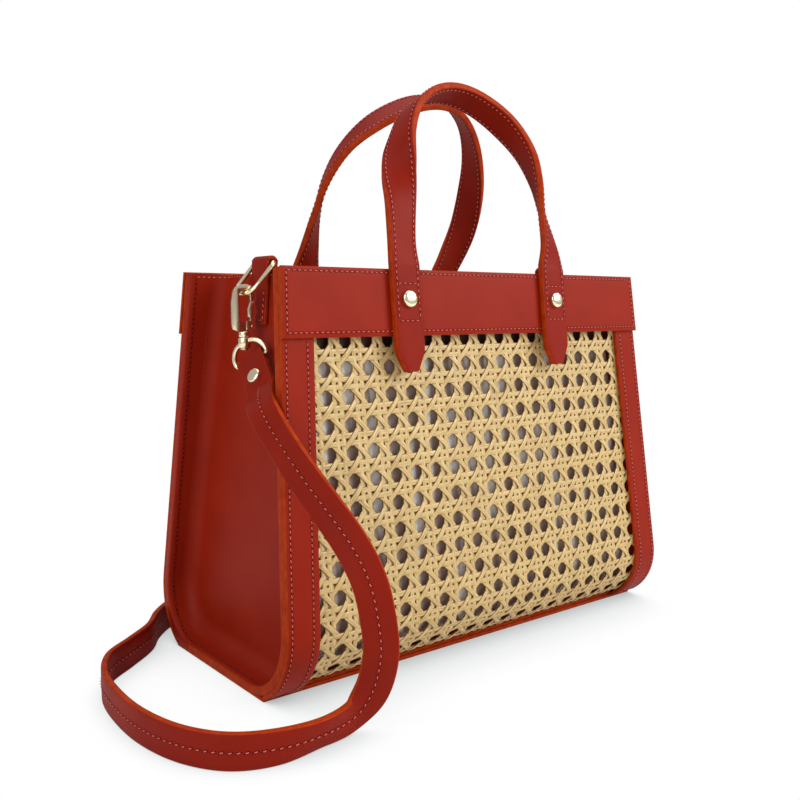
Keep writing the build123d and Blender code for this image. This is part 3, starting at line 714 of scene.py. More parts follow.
BAND_RUN = down_to(HEIGHT - BAND_HEIGHT)
STILE_END = down_to(1.0)
for back in (False, True):
    face = "back" if back else "front"
    for side in (-1, 1):
        side_name = "left" if (side < 0) != back else "right"
        lines = sorted((edge_line(side, 0), edge_line(side, STILE_WIDTH)), key=lambda line: line(0))
        name = f"{face}_{side_name}_stile"
        stile = sheet(f"{name}_leather", *lines, 0.2, STILE_END, 0.0, STILE, back, 6, 64)
        seat(stile, "leather", name)
        for inset in STILE_ROWS:
            run = np.linspace(BAND_RUN + 1.5, STILE_END - 5, 70)
            line = [(side * (half_width(z_of(s)) - inset), s) for s in run]
            sew(along_path(wall_path(line, 0, back=back), CLOSE_PITCH))
    # the band, the strip behind it beside the cane, and the facing inside: piece, sides, run and depth
    inside = STILE + CANE
    for part, node_name, left, right, run, depth, steps in (
        ("band", "top_band", edge_line(-1, -0.6), edge_line(1, -0.6), (0, BAND_RUN), (-BAND, 0), (60, 8)),
        ("backing", "band_backing", edge_line(-1, STILE_WIDTH + 0.1), edge_line(1, STILE_WIDTH + 0.1),
         (0.2, BAND_RUN - 0.2), (0.05, STILE), (30, 4)),
        ("facing", "facing", lambda s: -side_wall(z_of(s)) + 2.3, lambda s: side_wall(z_of(s)) - 2.3,
         (0.2, down_to(HEIGHT - FACING_HEIGHT)), (inside, inside + FLANGE), (30, 4)),
    ):
        piece = sheet(f"{face}_{part}_leather", left, right, *run, *depth, back, *steps)
        seat(piece, "leather", f"{face}_{node_name}")
    low, high = BAND_RUN - BAND_FOOT_ROW, 2.0
    corners = [(-1, high), (-1, low), (1, low), (1, high), (-1, high)]
    for (a, s), (b, r) in zip(corners, corners[1:]):
        line = []
        for k in range(41):
            f = k / 40
            run = s + (r - s) * f
            line.append(((a + (b - a) * f) * (half_width(z_of(run)) - BAND_ROW), run))
        sew(along_path(wall_path(line, -BAND, back=back), CLOSE_PITCH if a == b else BAND_PITCH))
    inner_line = [(x, FACING_ROW) for x in np.linspace(-97, 97, 60)]
    sew(along_path(wall_path(inner_line, inside + FLANGE, inward=True, back=back), STRAP_PITCH))
print(len(all_sewing), "stitches on the front and back")

# %% [markdown]
# ## Cane
# The open pattern has six ways: pairs of strands up and across, in plain weave, and one strand along
# each diagonal. One diagonal lies over the level pairs and under the upright ones, the other the
# reverse, and together they cut the square eyes to octagons. One cell is built here, and Geometry
# Nodes sets the cells side by side. Then the sheet is laid on the wall and bent round its corner.

# %% Cane
PITCH_X, PITCH_S = 12.66, 13.29
STRAND, PAIR, THIN = 2.75, 3.55, 0.5
WAVE, TALL = 0.5 * THIN, THIN + 0.06
STRAND_SINK = 0.1
STRAND_SECTION = ((-1, 0.15), (-0.62, 1.0), (0.62, 1.0), (1, 0.15), (1.05, -2.0), (-1.05, -2.0))


def strand(points, faces, info, kind, line, samples):
    """One length of cane: line(t) gives (x, s, height), t from 0 to 1."""
    rings = []
    for k in range(samples + 1):
        t = k / samples
        here, ahead, behind = line(t), line(t + 0.001), line(t - 0.001)
        dx, ds = ahead[0] - behind[0], ahead[1] - behind[1]
        size = sqrt(dx * dx + ds * ds)
        nx, ns = -ds / size, dx / size
        rings.append(range(len(points), len(points) + len(STRAND_SECTION)))
        for a, h in STRAND_SECTION:
            x, s = here[0] + nx * a * STRAND / 2, here[1] + ns * a * STRAND / 2
            points.append((x, s, here[2] + h * THIN / 2 - STRAND_SINK))
            info.append((kind, a))
    for a, b in zip(rings, rings[1:]):
        n = len(a)
        for i in range(n):
            faces.append((a[i], b[i], b[(i + 1) % n], a[(i + 1) % n]))


def weave_s(v, pitch):
    """Runs from crossing to crossing: -0.5 at one strand of a pair and 0.5 at the other."""
    u = (v / pitch) % 1.0
    gap = PAIR / pitch
    near = 0.5 - gap / 2
    if u < near:
        return 1.5 - (u + near) / (2 * near)
    if u > 1 - near:
        return 1.5 - (u - 1 + near) / (2 * near)
    return -0.5 + (u - near) / gap


def cane_cell():
    """Points (x, s, height), faces and (kind, across) of one cell, its eye in the middle."""
    points, faces, info = [], [], []
    px, ps = PITCH_X, PITCH_S
    # a strand of a pair stands over one strand that it crosses and under the next
    for kind, along, over in ((0, ps, px), (1, px, ps)):
        for pair in (-1, 1):
            def straight(t):
                run = (t - 0.5) * along
                place = over / 2 + pair * PAIR / 2 - (over if pair > 0 else 0)
                rise = pair * WAVE * sin(pi * weave_s(run, along))
                return (run, place, rise) if kind else (place, run, rise)
            strand(points, faces, info, kind, straight, 8)
    # half a slanting strand crosses each corner of the cell, from the middle of one side to another
    for way in (-1, 1):
        for end in (-1, 1):
            def slanting(t):
                return end * px / 2 * (1 - t), end * way * -ps / 2 * t, way * TALL * cos(pi * t)
            strand(points, faces, info, 2 + (way > 0), slanting, 5)
    return points, faces, info


def cell_object():
    """One cell in a hidden object, each point with its kind of strand and its place across it."""
    points, faces, info = cane_cell()
    ob = shape_object("cane_cell", points, faces)
    for key, k in (("kind", 0), ("side", 1)):
        att = ob.data.attributes.new(key, "FLOAT", "POINT")
        att.data.foreach_set("value", [float(i[k]) for i in info])
    return ob


def weave_tree():
    """Nodes that lay a cell out in columns and rows."""
    tree, into, out = node_group("weave", (
        ("Start", "Geometry"), ("Cell", "Object"), ("Columns", "Int"), ("Rows", "Int"), ("Width", "Float"),
        ("Length", "Float"), ("Finish", "Material"),
    ), "Woven")
    grid = node(tree, "GeometryNodeMeshGrid", {
        "Vertices X": into["Columns"], "Vertices Y": into["Rows"],
        "Size X": into["Width"], "Size Y": into["Length"],
    })
    woven = set_out(tree, grid.outputs["Mesh"], into["Cell"], into["Finish"])
    tree.links.new(woven, out.inputs["Woven"])
    return tree


cell = cell_object()
weave = weave_tree()
COLUMNS, ROWS = 21, 17
EYE_X, EYE_S = -101.2, down_to(153.0)
CANE_START, CANE_END, CANE_INSET = 0.4, down_to(BOARD_TOP + 0.3), 1.6
print("a cell of", len(cell.data.polygons), "faces, laid", COLUMNS, "by", ROWS)

# %% [markdown]
# ### The cane laid on the wall
# The flat sheet is moved so that an eye falls where it does in the photograph, bent round the corner
# at the foot, and trimmed to the frame. Each strand gets its own run of streaks from its place.

# %% The cane laid on the wall
def read(layer, key, size, kind=np.float32):
    """The values of a mesh layer, one row for each of its elements."""
    values = np.empty(len(layer) * size, dtype=kind)
    layer.foreach_get(key, values)
    return values.reshape(-1, size) if size > 1 else values


def cane_panel(name, back):
    """A woven sheet laid on the wall and trimmed."""
    ob = made_by_nodes(name, bpy.data.meshes.new(name), weave, {
        "Cell": cell, "Columns": COLUMNS, "Rows": ROWS, "Width": (COLUMNS - 1) * PITCH_X * MM,
        "Length": (ROWS - 1) * PITCH_S * MM, "Finish": cane_mat,
    })
    me = ob.data
    co = read(me.vertices, "co", 3, float) / MM
    x = co[:, 0] + EYE_X + round(-EYE_X / PITCH_X) * PITCH_X
    s = co[:, 1] + EYE_S + round((CANE_END / 2 - EYE_S) / PITCH_S) * PITCH_S
    kind = read(me.attributes["kind"].data, "value", 1)
    side = read(me.attributes["side"].data, "value", 1)
    column, row = np.round(x / PITCH_X * 2), np.round(s / PITCH_S * 2)
    slip, slope = np.round(x / PITCH_X + s / PITCH_S), np.round(x / PITCH_X - s / PITCH_S)
    seed = np.choose(kind.astype(int), [column * 7.3, row * 5.1 + 100, slip * 3.7 + 200, slope * 4.3 + 300])
    run = np.choose(kind.astype(int), [s, x, (x - s) / sqrt(2), (x + s) / sqrt(2)])
    which = read(me.loops, "vertex_index", 1, np.int32)
    uv = np.stack([side[which] + seed[which], run[which]], -1)
    me.uv_layers.new(name="strand").data.foreach_set("uv", uv.reshape(-1))
    middle = STILE + CANE / 2 - 0.1
    pts = np.array([(x[i], *profile(s[i], middle - co[i, 2])) for i in range(len(co))])
    if back:
        pts[:, :2] *= -1
    limit = half_width(pts[:, 2]) - CANE_INSET
    out = (np.abs(x) > limit) | (s < CANE_START) | (s > CANE_END)
    me.vertices.foreach_set("co", (pts * MM).reshape(-1))
    bm = bmesh.new()
    bm.from_mesh(me)
    bmesh.ops.delete(bm, geom=[v for v, gone in zip(bm.verts, out) if gone], context="VERTS")
    bm.to_mesh(me)
    bm.free()
    me.update()
    return ob


for face in ("front", "back"):
    panel = cane_panel(f"{face}_woven_cane", face == "back")
    seat(panel, "cane", f"{face}_cane_panel")
    print(panel.name, len(panel.data.polygons), "faces")

# %% [markdown]
# ## Side walls
# Each side wall is one piece of leather: a flat back, a soft hollow corner all round, and a flange that
# is sewn between the cane and the edge. The edge of all the layers is painted as one. A section is
# carried down the front, along the bottom and up the back, and the hollow closes it.

# %% Side walls
HOLLOW = 8.0
FLANGE_FOOT = 2.03
FLANGE_ROWS, TOP_ROW = (3.2, 11.2), 2.6


def ring_rows(top, straight, bent):
    """Distances down the front wall, from a start to the end of the round corner."""
    rows = [top + (FLAT_RUN - top) * k / straight for k in range(straight + 1)]
    return rows + [FLAT_RUN + ARC_RUN * k / bent for k in range(1, bent + 1)]


def wall_loop(rows, flat):
    """Places down the front, along the bottom and up the back."""
    inner = [("flat", y) for y in np.linspace(ARC_Y, -ARC_Y, flat)[1:-1]]
    return [("front", s) for s in rows] + inner + [("back", s) for s in reversed(rows)]


def at(place, d):
    """(y, z) at a place of the loop, at a depth from the bag's outer face."""
    kind, v = place
    if kind == "flat":
        return v, -SINK + d
    y, z = profile(v, d)
    return (-y if kind == "back" else y), z


def closed_end(points, faces, grid, count, col, move=lambda p: p):
    """Joins a grid's front lines to its back ones straight across, and gives the top row."""
    wide = len(grid) - 2 * count + 2
    lines = []
    for r in range(count):
        front, rear = grid[r][col], grid[-1 - r][col]
        p, q = points[front], points[rear]
        if r == count - 1:
            inner = [grid[r + k][col] for k in range(1, wide - 1)]
        else:
            inner = list(range(len(points), len(points) + wide - 2))
            points += [move(p.lerp(q, k / (wide - 1))) for k in range(1, wide - 1)]
        lines.append([front, *inner, rear])
    for a, b in zip(lines, lines[1:]):
        faces += strip(a, b)
    return lines[0]


def slack(y, z):
    """How far the soft side wall stands out from its flat."""
    u, v = y / 50, z / HEIGHT
    fall = max(0.0, 1 - u * u) * sin(pi * min(1, max(0, (z - 16) / (HEIGHT - 16)))) ** 2
    return -1.6 * fall + 0.5 * sin(7 * v + 2 * u) * fall


def side_section():
    """(x at a height, depth, painted) from the hollow round the edge to the hollow's inner face."""
    def hollow(radius, a):
        return lambda z: side_wall(z) + HOLLOW - radius * sin(a), EDGE_DEPTH + HOLLOW - radius * cos(a), 0

    def edge(inset, depth, painted):
        return lambda z: half_width(z) - inset, depth, painted

    within = STILE + CANE + 0.05
    section = [hollow(HOLLOW, a) for a in np.linspace(pi / 2, 0, 8)]
    section += [edge(3, EDGE_DEPTH, 0), edge(0.5, EDGE_DEPTH, 0), edge(0.1, EDGE_DEPTH - 0.3, 1)]
    section += [edge(0, EDGE_DEPTH - 0.9, 1), edge(0, STILE + 0.5, 1), edge(0.2, STILE + 0.06, 1)]
    section += [edge(1.3, STILE + 0.06, 1), edge(1.3, within, 0)]
    section.append((lambda z: side_wall(z) + HOLLOW, within, 0))
    back_radius = HOLLOW + EDGE_DEPTH - within
    return section + [hollow(back_radius, a) for a in (pi / 6, pi / 3, pi / 2)]


def side_piece(name, right):
    """A side wall with its flange, and its edges painted."""
    points, faces, picks, grid = [], [], [], []
    rows, section = ring_rows(0, 22, 14), side_section()
    loop = wall_loop(rows, 17)
    for place in loop:
        grid.append(range(len(points), len(points) + len(section)))
        for x_of, d, painted in section:
            y, z = at(place, d)
            points.append(Vector((-x_of(z), y, max(z, FLANGE_FOOT))))
    for (kind, v), a, b in zip(loop, grid, grid[1:]):
        for i in range(len(section) - 1):
            faces.append((a[i], b[i], b[i + 1], a[i + 1]))
            picks.append(1 if section[i][2] and section[i + 1][2] and kind != "back" else 0)
    tops = []
    for col, level in ((0, 0), (len(section) - 1, FLANGE)):
        def moved(p):
            return Vector((-(side_wall(p.z) - level + slack(p.y, p.z)), p.y, p.z))
        tops.append(closed_end(points, faces, grid, len(rows), col, moved))
    picks += [0] * (len(faces) - len(picks))
    faces += strip(*tops) + [tuple(grid[0]), tuple(grid[-1])]
    picks += [1] * (len(faces) - len(picks))
    if right:
        points = [turned(p) for p in points]
    return make(name, points, faces, [brick, paint], picks, sharp=50)


def flange_path(inset, start, right):
    """A line of sewing round the flange, from a distance below the top to the same on the other side."""
    rows = [start] + [v for v in ring_rows(0, 22, 14) if v > start]
    path = []
    for place in [("front", v) for v in rows] + [("back", v) for v in rows[::-1]]:
        y, z = at(place, EDGE_DEPTH)
        y2, z2 = at(place, EDGE_DEPTH + 1)
        p, n = Vector((-(half_width(z) - inset), y, z)), Vector((0, y2 - y, z2 - z))
        path.append((turned(p), turned(n)) if right else (p, n))
    return path


def top_path(right):
    """A line of sewing below the top edge: over the flange, round the hollow and along the wall."""
    z = HEIGHT - TOP_ROW
    foot = side_wall(z) + HOLLOW
    places = [(x, EDGE_DEPTH, 0) for x in np.linspace(half_width(z) - 3, foot, 6)]
    for a in np.linspace(0.1, pi / 2, 8):
        places.append((side_wall(z) + HOLLOW * (1 - sin(a)), EDGE_DEPTH + HOLLOW * (1 - cos(a)), a))
    path = [(Vector((-x, profile(TOP_ROW, d)[0], z)), Vector((-sin(a), cos(a), 0))) for x, d, a in places]
    path += [(Vector((p.x, -p.y, p.z)), Vector((n.x, -n.y, n.z))) for p, n in reversed(path)]
    return [(turned(p), turned(n)) for p, n in path] if right else path


for side in ("left", "right"):
    right = side == "right"
    seat(side_piece(f"{side}_side_leather", right), "leather", f"{side}_gusset")
    # the outer row starts at the top, the inner one below the band
    for inset, start in zip(FLANGE_ROWS, (3.0, BAND_RUN)):
        sew(along_path(flange_path(inset, start, right), CLOSE_PITCH), fine=True)
    sew(along_path(top_path(right), BAND_PITCH))
print(len(fine_sewing), "fine stitches on the side walls")

# %% [markdown]
# ## Base and lining
# The base leather closes the bag below, and a stiff board lies on it. The lining is a thin open bag
# that follows the walls inside. Its painted streaks of highlight show through the eyes of the cane.

# %% Base and lining
def slab(name, x, y, low, high, bevel):
    """A flat plate in the middle of the bag, given half its sides."""
    outline = [(-x, -y), (x, -y), (x, y), (-x, y)]
    return prism(name, (Vector((0, 0, 0)), X, Y), outline, low, high, bevel, paint)


seat(slab("base_leather", 133.8, 46.2, 0.0, 2.0, 0.5), "leather", "base_panel")
seat(slab("base_stiffener", 116.5, 45.6, 2.05, 3.95, 0.3), "board", "base_board")

LINING_TOP, LINING_THICK = 178, 1.0


def lining_piece(nx=48):
    """A thin open bag that follows the walls inside."""
    points, faces, mouths = [], [], []
    rows = ring_rows(down_to(LINING_TOP), 14, 10)
    for shrink in (0.0, LINING_THICK):
        grid = []
        for place in wall_loop(rows, 9):
            y, z = at(place, STILE + CANE + FLANGE + 0.4 + shrink)
            w = side_wall(z) - 2.3 - shrink
            grid.append(range(len(points), len(points) + nx + 1))
            points += [Vector((-w + 2 * w * i / nx, y, z)) for i in range(nx + 1)]
        for a, b in zip(grid, grid[1:]):
            faces += [(a[i], b[i], b[i + 1], a[i + 1]) for i in range(nx)]
        first, second = (closed_end(points, faces, grid, len(rows), col)[1:-1] for col in (0, nx))
        mouths.append([*grid[0], *second, *reversed(grid[-1]), *reversed(first)])
    faces += quads(*mouths)
    return make("satin_lining", points, faces, [lining_mat], sharp=50)


seat(lining_piece(), "lining", "lining")

# %% [markdown]
# ## Handles
# Each handle is one long strap of doubled leather. It lies flat on the band as a pointed tab, rises,
# and turns a full half turn over the top, so that its outer face looks up and out along the arch. The
# arches are tables of places read from the bag's lean and sway, because they are not quite alike.

# %% Handles
HANDLE_W, HANDLE_T, SPACING = 17.5, 3.6, 105.0
SCREW_DOWN, TAB_RISE, TAB_DROP, TIP = 15.0, 2.0, 35.5, 6.4
HANDLE_ROW, ROWS_FROM, BOX_ROWS, BOX_HALF = 2.2, -11, (7.6, -10.6), 6.2
SCREW_R = 4.2
# (radius, height) of a screw's domed head outside, and of the cap that closes it inside
DOME = ((SCREW_R, 0.02), (SCREW_R, 1.4), (4.08, 1.85), (3.75, 2.2), (3.1, 2.42), (1.8, 2.58), (0.3, 2.62))
CAP = ((SCREW_R, 0.0), (SCREW_R, 0.7), (3.9, 1.15), (3.2, 1.35), (0.3, 1.4))
# distance from the handle's middle, from the middle of the bag, rise above the top edge, and twist
FRONT_ARCH = (
    (-51.4, 48.2, 15.0, 84.6), (-47.5, 42.3, 34.2, 97.0), (-44.0, 36.9, 51.1, 134.2),
    (-38.4, 32.0, 67.9, 175.8), (-28.0, 26.9, 83.4, 190.6), (-12.6, 23.2, 93.3, 197.8),
    (5.0, 21.9, 96.5, 199.3), (22.7, 23.3, 92.7, 197.5), (38.9, 27.1, 82.8, 193.2),
    (50.9, 32.1, 68.3, 172.1), (55.6, 37.0, 51.4, 148.5), (55.2, 42.2, 33.4, 129.4),
    (55.1, 48.1, 14.0, 107.7),
)
BACK_ARCH = (
    (-51.7, 48.7, 14.0, 116.1), (-50.2, 43.2, 34.6, 141.7), (-47.0, 36.9, 53.7, 157.1),
    (-38.5, 30.0, 71.4, 175.5), (-22.4, 24.0, 86.6, 197.2), (-2.6, 19.0, 97.4, 205.5),
    (16.6, 17.5, 101.8, 209.0), (34.4, 19.1, 99.5, 207.6), (49.6, 24.1, 89.4, 201.9),
    (59.4, 30.2, 72.8, 184.8), (63.8, 36.9, 53.1, 157.3), (63.6, 43.3, 33.0, 126.0),
    (57.9, 48.7, 14.0, 97.0),
)
# how far up from the tab's tip, and how much wider than the tip
TAB = ((0, 0), (0.4, 1.4), (2, 3.2), (5, 6.2), (8, 9.0), (10.5, HANDLE_W - 0.4 - TIP), (13, HANDLE_W - TIP))


def handle_stations(face, arch, shift):
    """Stations of a handle from one tab's tip to the other's, the width at each, feet, up and out."""
    up = Vector((0, -face * sin(LEAN), cos(LEAN)))
    out = Vector((0, face * cos(LEAN), sin(LEAN)))
    depth = TOP_DEPTH / 2 + SCREW_DOWN * (BOTTOM_DEPTH - TOP_DEPTH) / 2 / HEIGHT
    mid = Vector((0, face * depth, HEIGHT - SCREW_DOWN)) + out * (BAND + HANDLE_T / 2)
    rise = SCREW_DOWN + TAB_RISE
    feet = [mid + Vector((shift + side * SPACING / 2, 0, 0)) for side in (-1, 1)]
    points = [feet[0] + up * rise]
    points += [Vector((o + shift, face * d, HEIGHT + r)) for o, d, r, twist in arch]
    points.append(feet[1] + up * rise)
    across = [X]
    for i, (o, d, r, twist) in enumerate(arch, start=1):
        along = (points[i + 1] - points[i - 1]).normalized()
        along = Vector((along.x, -face * along.y, along.z))
        level = (Y - along * Y.dot(along)).normalized()
        edge = level * cos(radians(-twist)) + along.cross(level) * sin(radians(-twist))
        across.append(Vector((edge.x, -face * edge.y, edge.z)))
    across.append(-X)
    tab = [(-TAB_DROP + v, TIP + w) for v, w in TAB]
    tab += [(v, HANDLE_W) for v in np.linspace(-18, rise - 1, 9)]
    arc = stations(points, across, 8, first=up, last=-up)
    places = [(feet[0] + up * v, X, up, up.cross(X)) for v, w in tab] + arc
    places += [(feet[1] + up * v, -X, -up, (-up).cross(-X)) for v, w in reversed(tab)]
    widths = [w for v, w in tab]
    return places, widths + [HANDLE_W] * len(arc) + widths[::-1], feet, up, out


for face, name, arch, shift in ((-1, "front", FRONT_ARCH, -2.7), (1, "back", BACK_ARCH, 6.0)):
    places, widths, feet, up, out = handle_stations(face, arch, shift)
    handle = ribbon(f"{name}_handle_leather", places, widths, HANDLE_T, edge=0.8, crown=0.15)
    seat(handle, "leather", f"{name}_handle")
    # sewing follows both edges on both faces, and closes to a box round each screw
    start = next(i for i, p in enumerate(places) if (p[0] - feet[0]).dot(up) > ROWS_FROM)
    skin = HANDLE_T / 2 + 0.1
    for edge in (-1, 1):
        for which in (-1, 1):
            over, off = edge * (HANDLE_W / 2 - HANDLE_ROW), which * skin
            run = places[start:len(places) - start]
            path = [(m + across * over + normal * off, normal * which) for m, across, along, normal in run]
            sew(along_path(path, HANDLE_PITCH))
    for foot in feet:
        for v in BOX_ROWS:
            a = foot + up * v + out * skin - X * BOX_HALF
            sew(along_line(a, a + X * (2 * BOX_HALF), out, HANDLE_PITCH))
    for side, foot in zip(("left", "right"), feet):
        seat_point = foot + out * (HANDLE_T / 2)
        screw = lathe(f"{name}_{side}_screw_head", seat_point, out, DOME)
        seat(screw, "gold_metal", f"{name}_{side}_handle_screw")
        inside = seat_point - out * (STILE + CANE + FLANGE + BAND + HANDLE_T)
        seat(lathe(f"{name}_{side}_cap", inside, -out, CAP), "gold_metal", f"{name}_{side}_screw_cap")
    print(name, "handle of", len(places), "stations")

# %% [markdown]
# ## Rings, hooks and bows
# A tab of leather loops over the side wall and holds a ring of wire. The hook hangs in the ring with
# its gate towards the bag, and turns on a swivel in the bow that the strap folds through. Every piece
# is built for the left side, and again half a turn round for the right.

# %% Rings, hooks and bows
TOP_WALL = -side_wall(HEIGHT) + 1.0
BAR_Z = HEIGHT + 3.8
TAB_WIDTH, TAB_THICK, RING_WIRE = 15.0, 1.8, 1.2
LOOP_R = RING_WIRE + 0.3 + TAB_THICK / 2
HOOK = Vector((-116.0, -1.5, 169.5))
HOOK_TURN, HOOK_T = radians(12), 4.0
ARCH_H, HALF, BAR = 17.6, 5.8, 2.9
EAR_SIDE = (-HOOK_T / 2, -0.95), (0.95, HOOK_T / 2)


def rounded_path(corners, radii, steps=8):
    """Points round a closed path with its corners turned to arcs."""
    path = []
    for i, (p, radius) in enumerate(zip(corners, radii)):
        a, b = (corners[i - 1] - p).normalized(), (corners[(i + 1) % len(corners)] - p).normalized()
        half = a.angle(b) / 2
        reach = radius / tan(half)
        centre = p + (a + b).normalized() * (radius / sin(half))
        start, end = p + a * reach - centre, p + b * reach - centre
        path += [centre + start.slerp(end, k / steps).normalized() * radius for k in range(steps + 1)]
    return path


def both_sides(build):
    """Builds a piece for the left side, and again half a turn round for the right."""
    for side in ("left", "right"):
        build(side, (lambda v: v) if side == "left" else turned)


def build_tab(side, t):
    """The strip of leather over the side wall that holds the ring, and its sewing."""
    z_in, z_out = HEIGHT - 18, HEIGHT - 27
    x_out = -side_wall(z_out) - 0.3 - TAB_THICK / 2
    x_in = -side_wall(z_in) + 2.3 + TAB_THICK / 2
    turn = [(TOP_WALL + LOOP_R * cos(a), BAR_Z + LOOP_R * sin(a)) for a in np.linspace(0, pi, 9)[1:-1]]
    line = [(x_in, z_in), (x_in - 0.3, z_in + 9), (TOP_WALL + LOOP_R, BAR_Z), *turn]
    line += [(TOP_WALL - LOOP_R, BAR_Z), (x_out + 1.1, z_out + 14), (x_out, z_out)]
    line = [t(Vector((x, 0, z))) for x, z in line]
    places = stations(line, [t(Y)] * len(line), 4)
    tab = ribbon(f"{side}_tab_leather", places, [TAB_WIDTH] * len(places), TAB_THICK, edge=0.4)
    seat(tab, "leather", f"{side}_ring_tab")
    for ends in (((-5.8, 190), (-5.8, 175)), ((5.8, 190), (5.8, 175)), ((-5, 175.2), (5, 175.2))):
        a, b = (t(Vector((-side_wall(z) - 2.15, y, z))) for y, z in ends)
        sew(along_line(a, b, t(-X), TAB_PITCH))


def build_ring(side, t):
    """A ring from the tab down to the hook's nose."""
    top = Vector((TOP_WALL, 0, BAR_Z))
    bottom = Vector((HOOK.x, 0, HOOK.z + ARCH_H + HALF - BAR - RING_WIRE - 0.45))
    y = Y * ((17 + 2 * RING_WIRE) / 2)
    path = rounded_path([top - y, top + y, bottom + y, bottom - y], [2.6, 2.6, 6.5, 6.5])
    ring = tube(f"{side}_ring_wire", [t(p) for p in path], RING_WIRE)
    seat(ring, "gold_metal", f"{side}_ring", body=f"{side}_ring")


def top_arc(radius, steps):
    """(u, z) over the hook's top, between its two ends."""
    turns = np.linspace(0, pi, steps)[1:-1]
    return [(-radius * cos(a), ARCH_H + abs(radius) * sin(a)) for a in turns]


def build_hook(side, t):
    """The hook with its ears, its swivel, and the gate on its pin."""
    origin, u = t(HOOK), t(Vector((cos(HOOK_TURN), -sin(HOOK_TURN), 0)))
    plane = origin, u, Z
    n = u.cross(Z)
    inner, nose = HALF - BAR, ARCH_H - 2.3
    outline = [(-HALF, 1.2), (-HALF - 0.5, 4.0), (-HALF - 0.5, ARCH_H - 3.0), (-HALF, ARCH_H)]
    outline += top_arc(HALF, 17)
    outline += [(HALF, ARCH_H), (HALF, nose), (inner, nose), (inner, ARCH_H)]
    outline += top_arc(-inner, 13)
    outline += [(-inner, ARCH_H), (-inner + 0.45, ARCH_H - 2), (-inner + 0.45, 5.5), (0.5, 5.5), (0.5, 1.0)]
    outline += [(2.7, 0.2), (2.7, 0), (-2.7, 0), (-3.6, 0.2)]
    gate = [(5.5, 8.4), (6.5, 9.2), (6.5, 10.8), (5.5, 11.6), (5.5, 15.0), (2.9, 15.0)]
    tongue = [(2.7, 1.5), (4.6, 1.5), (5.0, 2.6), (5.3, 6.3), *gate, (2.9, 6.3), (2.4, 2.6)]
    cheeks = [(2.9, 6.3), (5.5, 6.3), *gate, (1.7, 11.0), (1.8, 7.6)]
    ear = [(0.4, 0.6), (4.4, 0.6), (5.3, 1.6), (5.3, 4.6), (4.4, 5.5), (0.4, 5.5)]
    wide = HOOK_T / 2

    def plate(name, shape, low, high, bevel, body, *nodes):
        piece = prism(f"{side}_{name}", plane, shape, low, high, bevel, gold)
        seat(piece, "gold_metal", *nodes, body=f"{side}_{body}")

    plate("hook_metal", outline[::-1], -wide, wide, 0.75, "hook", f"{side}_hook_body")
    plate("ear_a", ear, *EAR_SIDE[0], 0.3, "hook")
    plate("ear_b", ear, *EAR_SIDE[1], 0.3, "hook")
    swivel = [(2.3, -0.3), (2.7, 0.1), (2.7, 2.2), (2.4, 2.6), (1.4, 2.62), (1.4, 8.0), (1.9, 8.02)]
    collar = lathe(f"{side}_swivel", origin, -Z, swivel + [(1.9, 8.8), (1.3, 9.3), (0.2, 9.4)])
    seat(collar, "gold_metal", body=f"{side}_hook")
    rod = [(0.15, -0.05), (0.5, 0.0), (0.6, 0.15), (0.6, 3.95), (0.5, 4.1), (0.15, 4.15)]
    pin = lathe(f"{side}_pin", origin + u * 3.6 + Z * 2.8 - n * 2.05, n, rod, sides=16)
    seat(pin, "gold_metal", f"{side}_gate_pin", body=f"{side}_hook")
    plate("gate_metal", tongue, -0.8, 0.8, 0.25, "gate", f"{side}_hook_gate")
    plate("gate_sides", cheeks, -wide + 0.3, wide - 0.3, 0.5, "gate")


STRAP_W, STRAP_T = 15.5, 3.0
BOW_TURN, BOW_TILT, BOW_DROP, BOW_WIRE = radians(60), radians(27), 9.6, 2.5
BOW_ACROSS = Vector((cos(BOW_TURN) * cos(BOW_TILT), -sin(BOW_TURN) * cos(BOW_TILT), sin(BOW_TILT)))
BOW_OUT = Vector((-sin(BOW_TURN), -cos(BOW_TURN), 0))
BOW_UP = BOW_OUT.cross(BOW_ACROSS)
BOW_HALF = (STRAP_W + 1.0 + BOW_WIRE) / 2
BOSS = HOOK - Vector((0, 0, 2.6 + 0.2 + 2.5))


def build_bow(side, t):
    """The wire that the strap folds round, and the barrel that the swivel turns in."""
    a, d = BOW_ACROSS * BOW_HALF, BOW_UP * -BOW_DROP
    path = rounded_path([BOSS - a, BOSS + a, BOSS + a + d, BOSS - a + d], [7.6, 7.6, 1.7, 1.7])
    seat(tube(f"{side}_bow_wire", [t(p) for p in path], BOW_WIRE / 2), "gold_metal", f"{side}_bow")
    barrel = [(1.5, -2.5), (2.7, -2.5), (3.1, -2.0), (3.1, 2.0), (2.7, 2.5), (1.5, 2.5)]
    seat(lathe(f"{side}_bow_boss", t(BOSS), Z, barrel), "gold_metal")


for build in (build_tab, build_ring, build_hook, build_bow):
    both_sides(build)
print("hooks hang from", BAR_Z, "to", round(BOSS.z - BOW_DROP), "mm")

# %% [markdown]
# ## Shoulder strap
# The strap is two plies of leather, sewn down the middle. Each end folds round a bow and is held by a
# screw. From the left bow it falls past the corner, lies on edge in a loop, and runs behind the bag.
# A table gives its middle and the way its width points, and a smooth curve runs through the places.

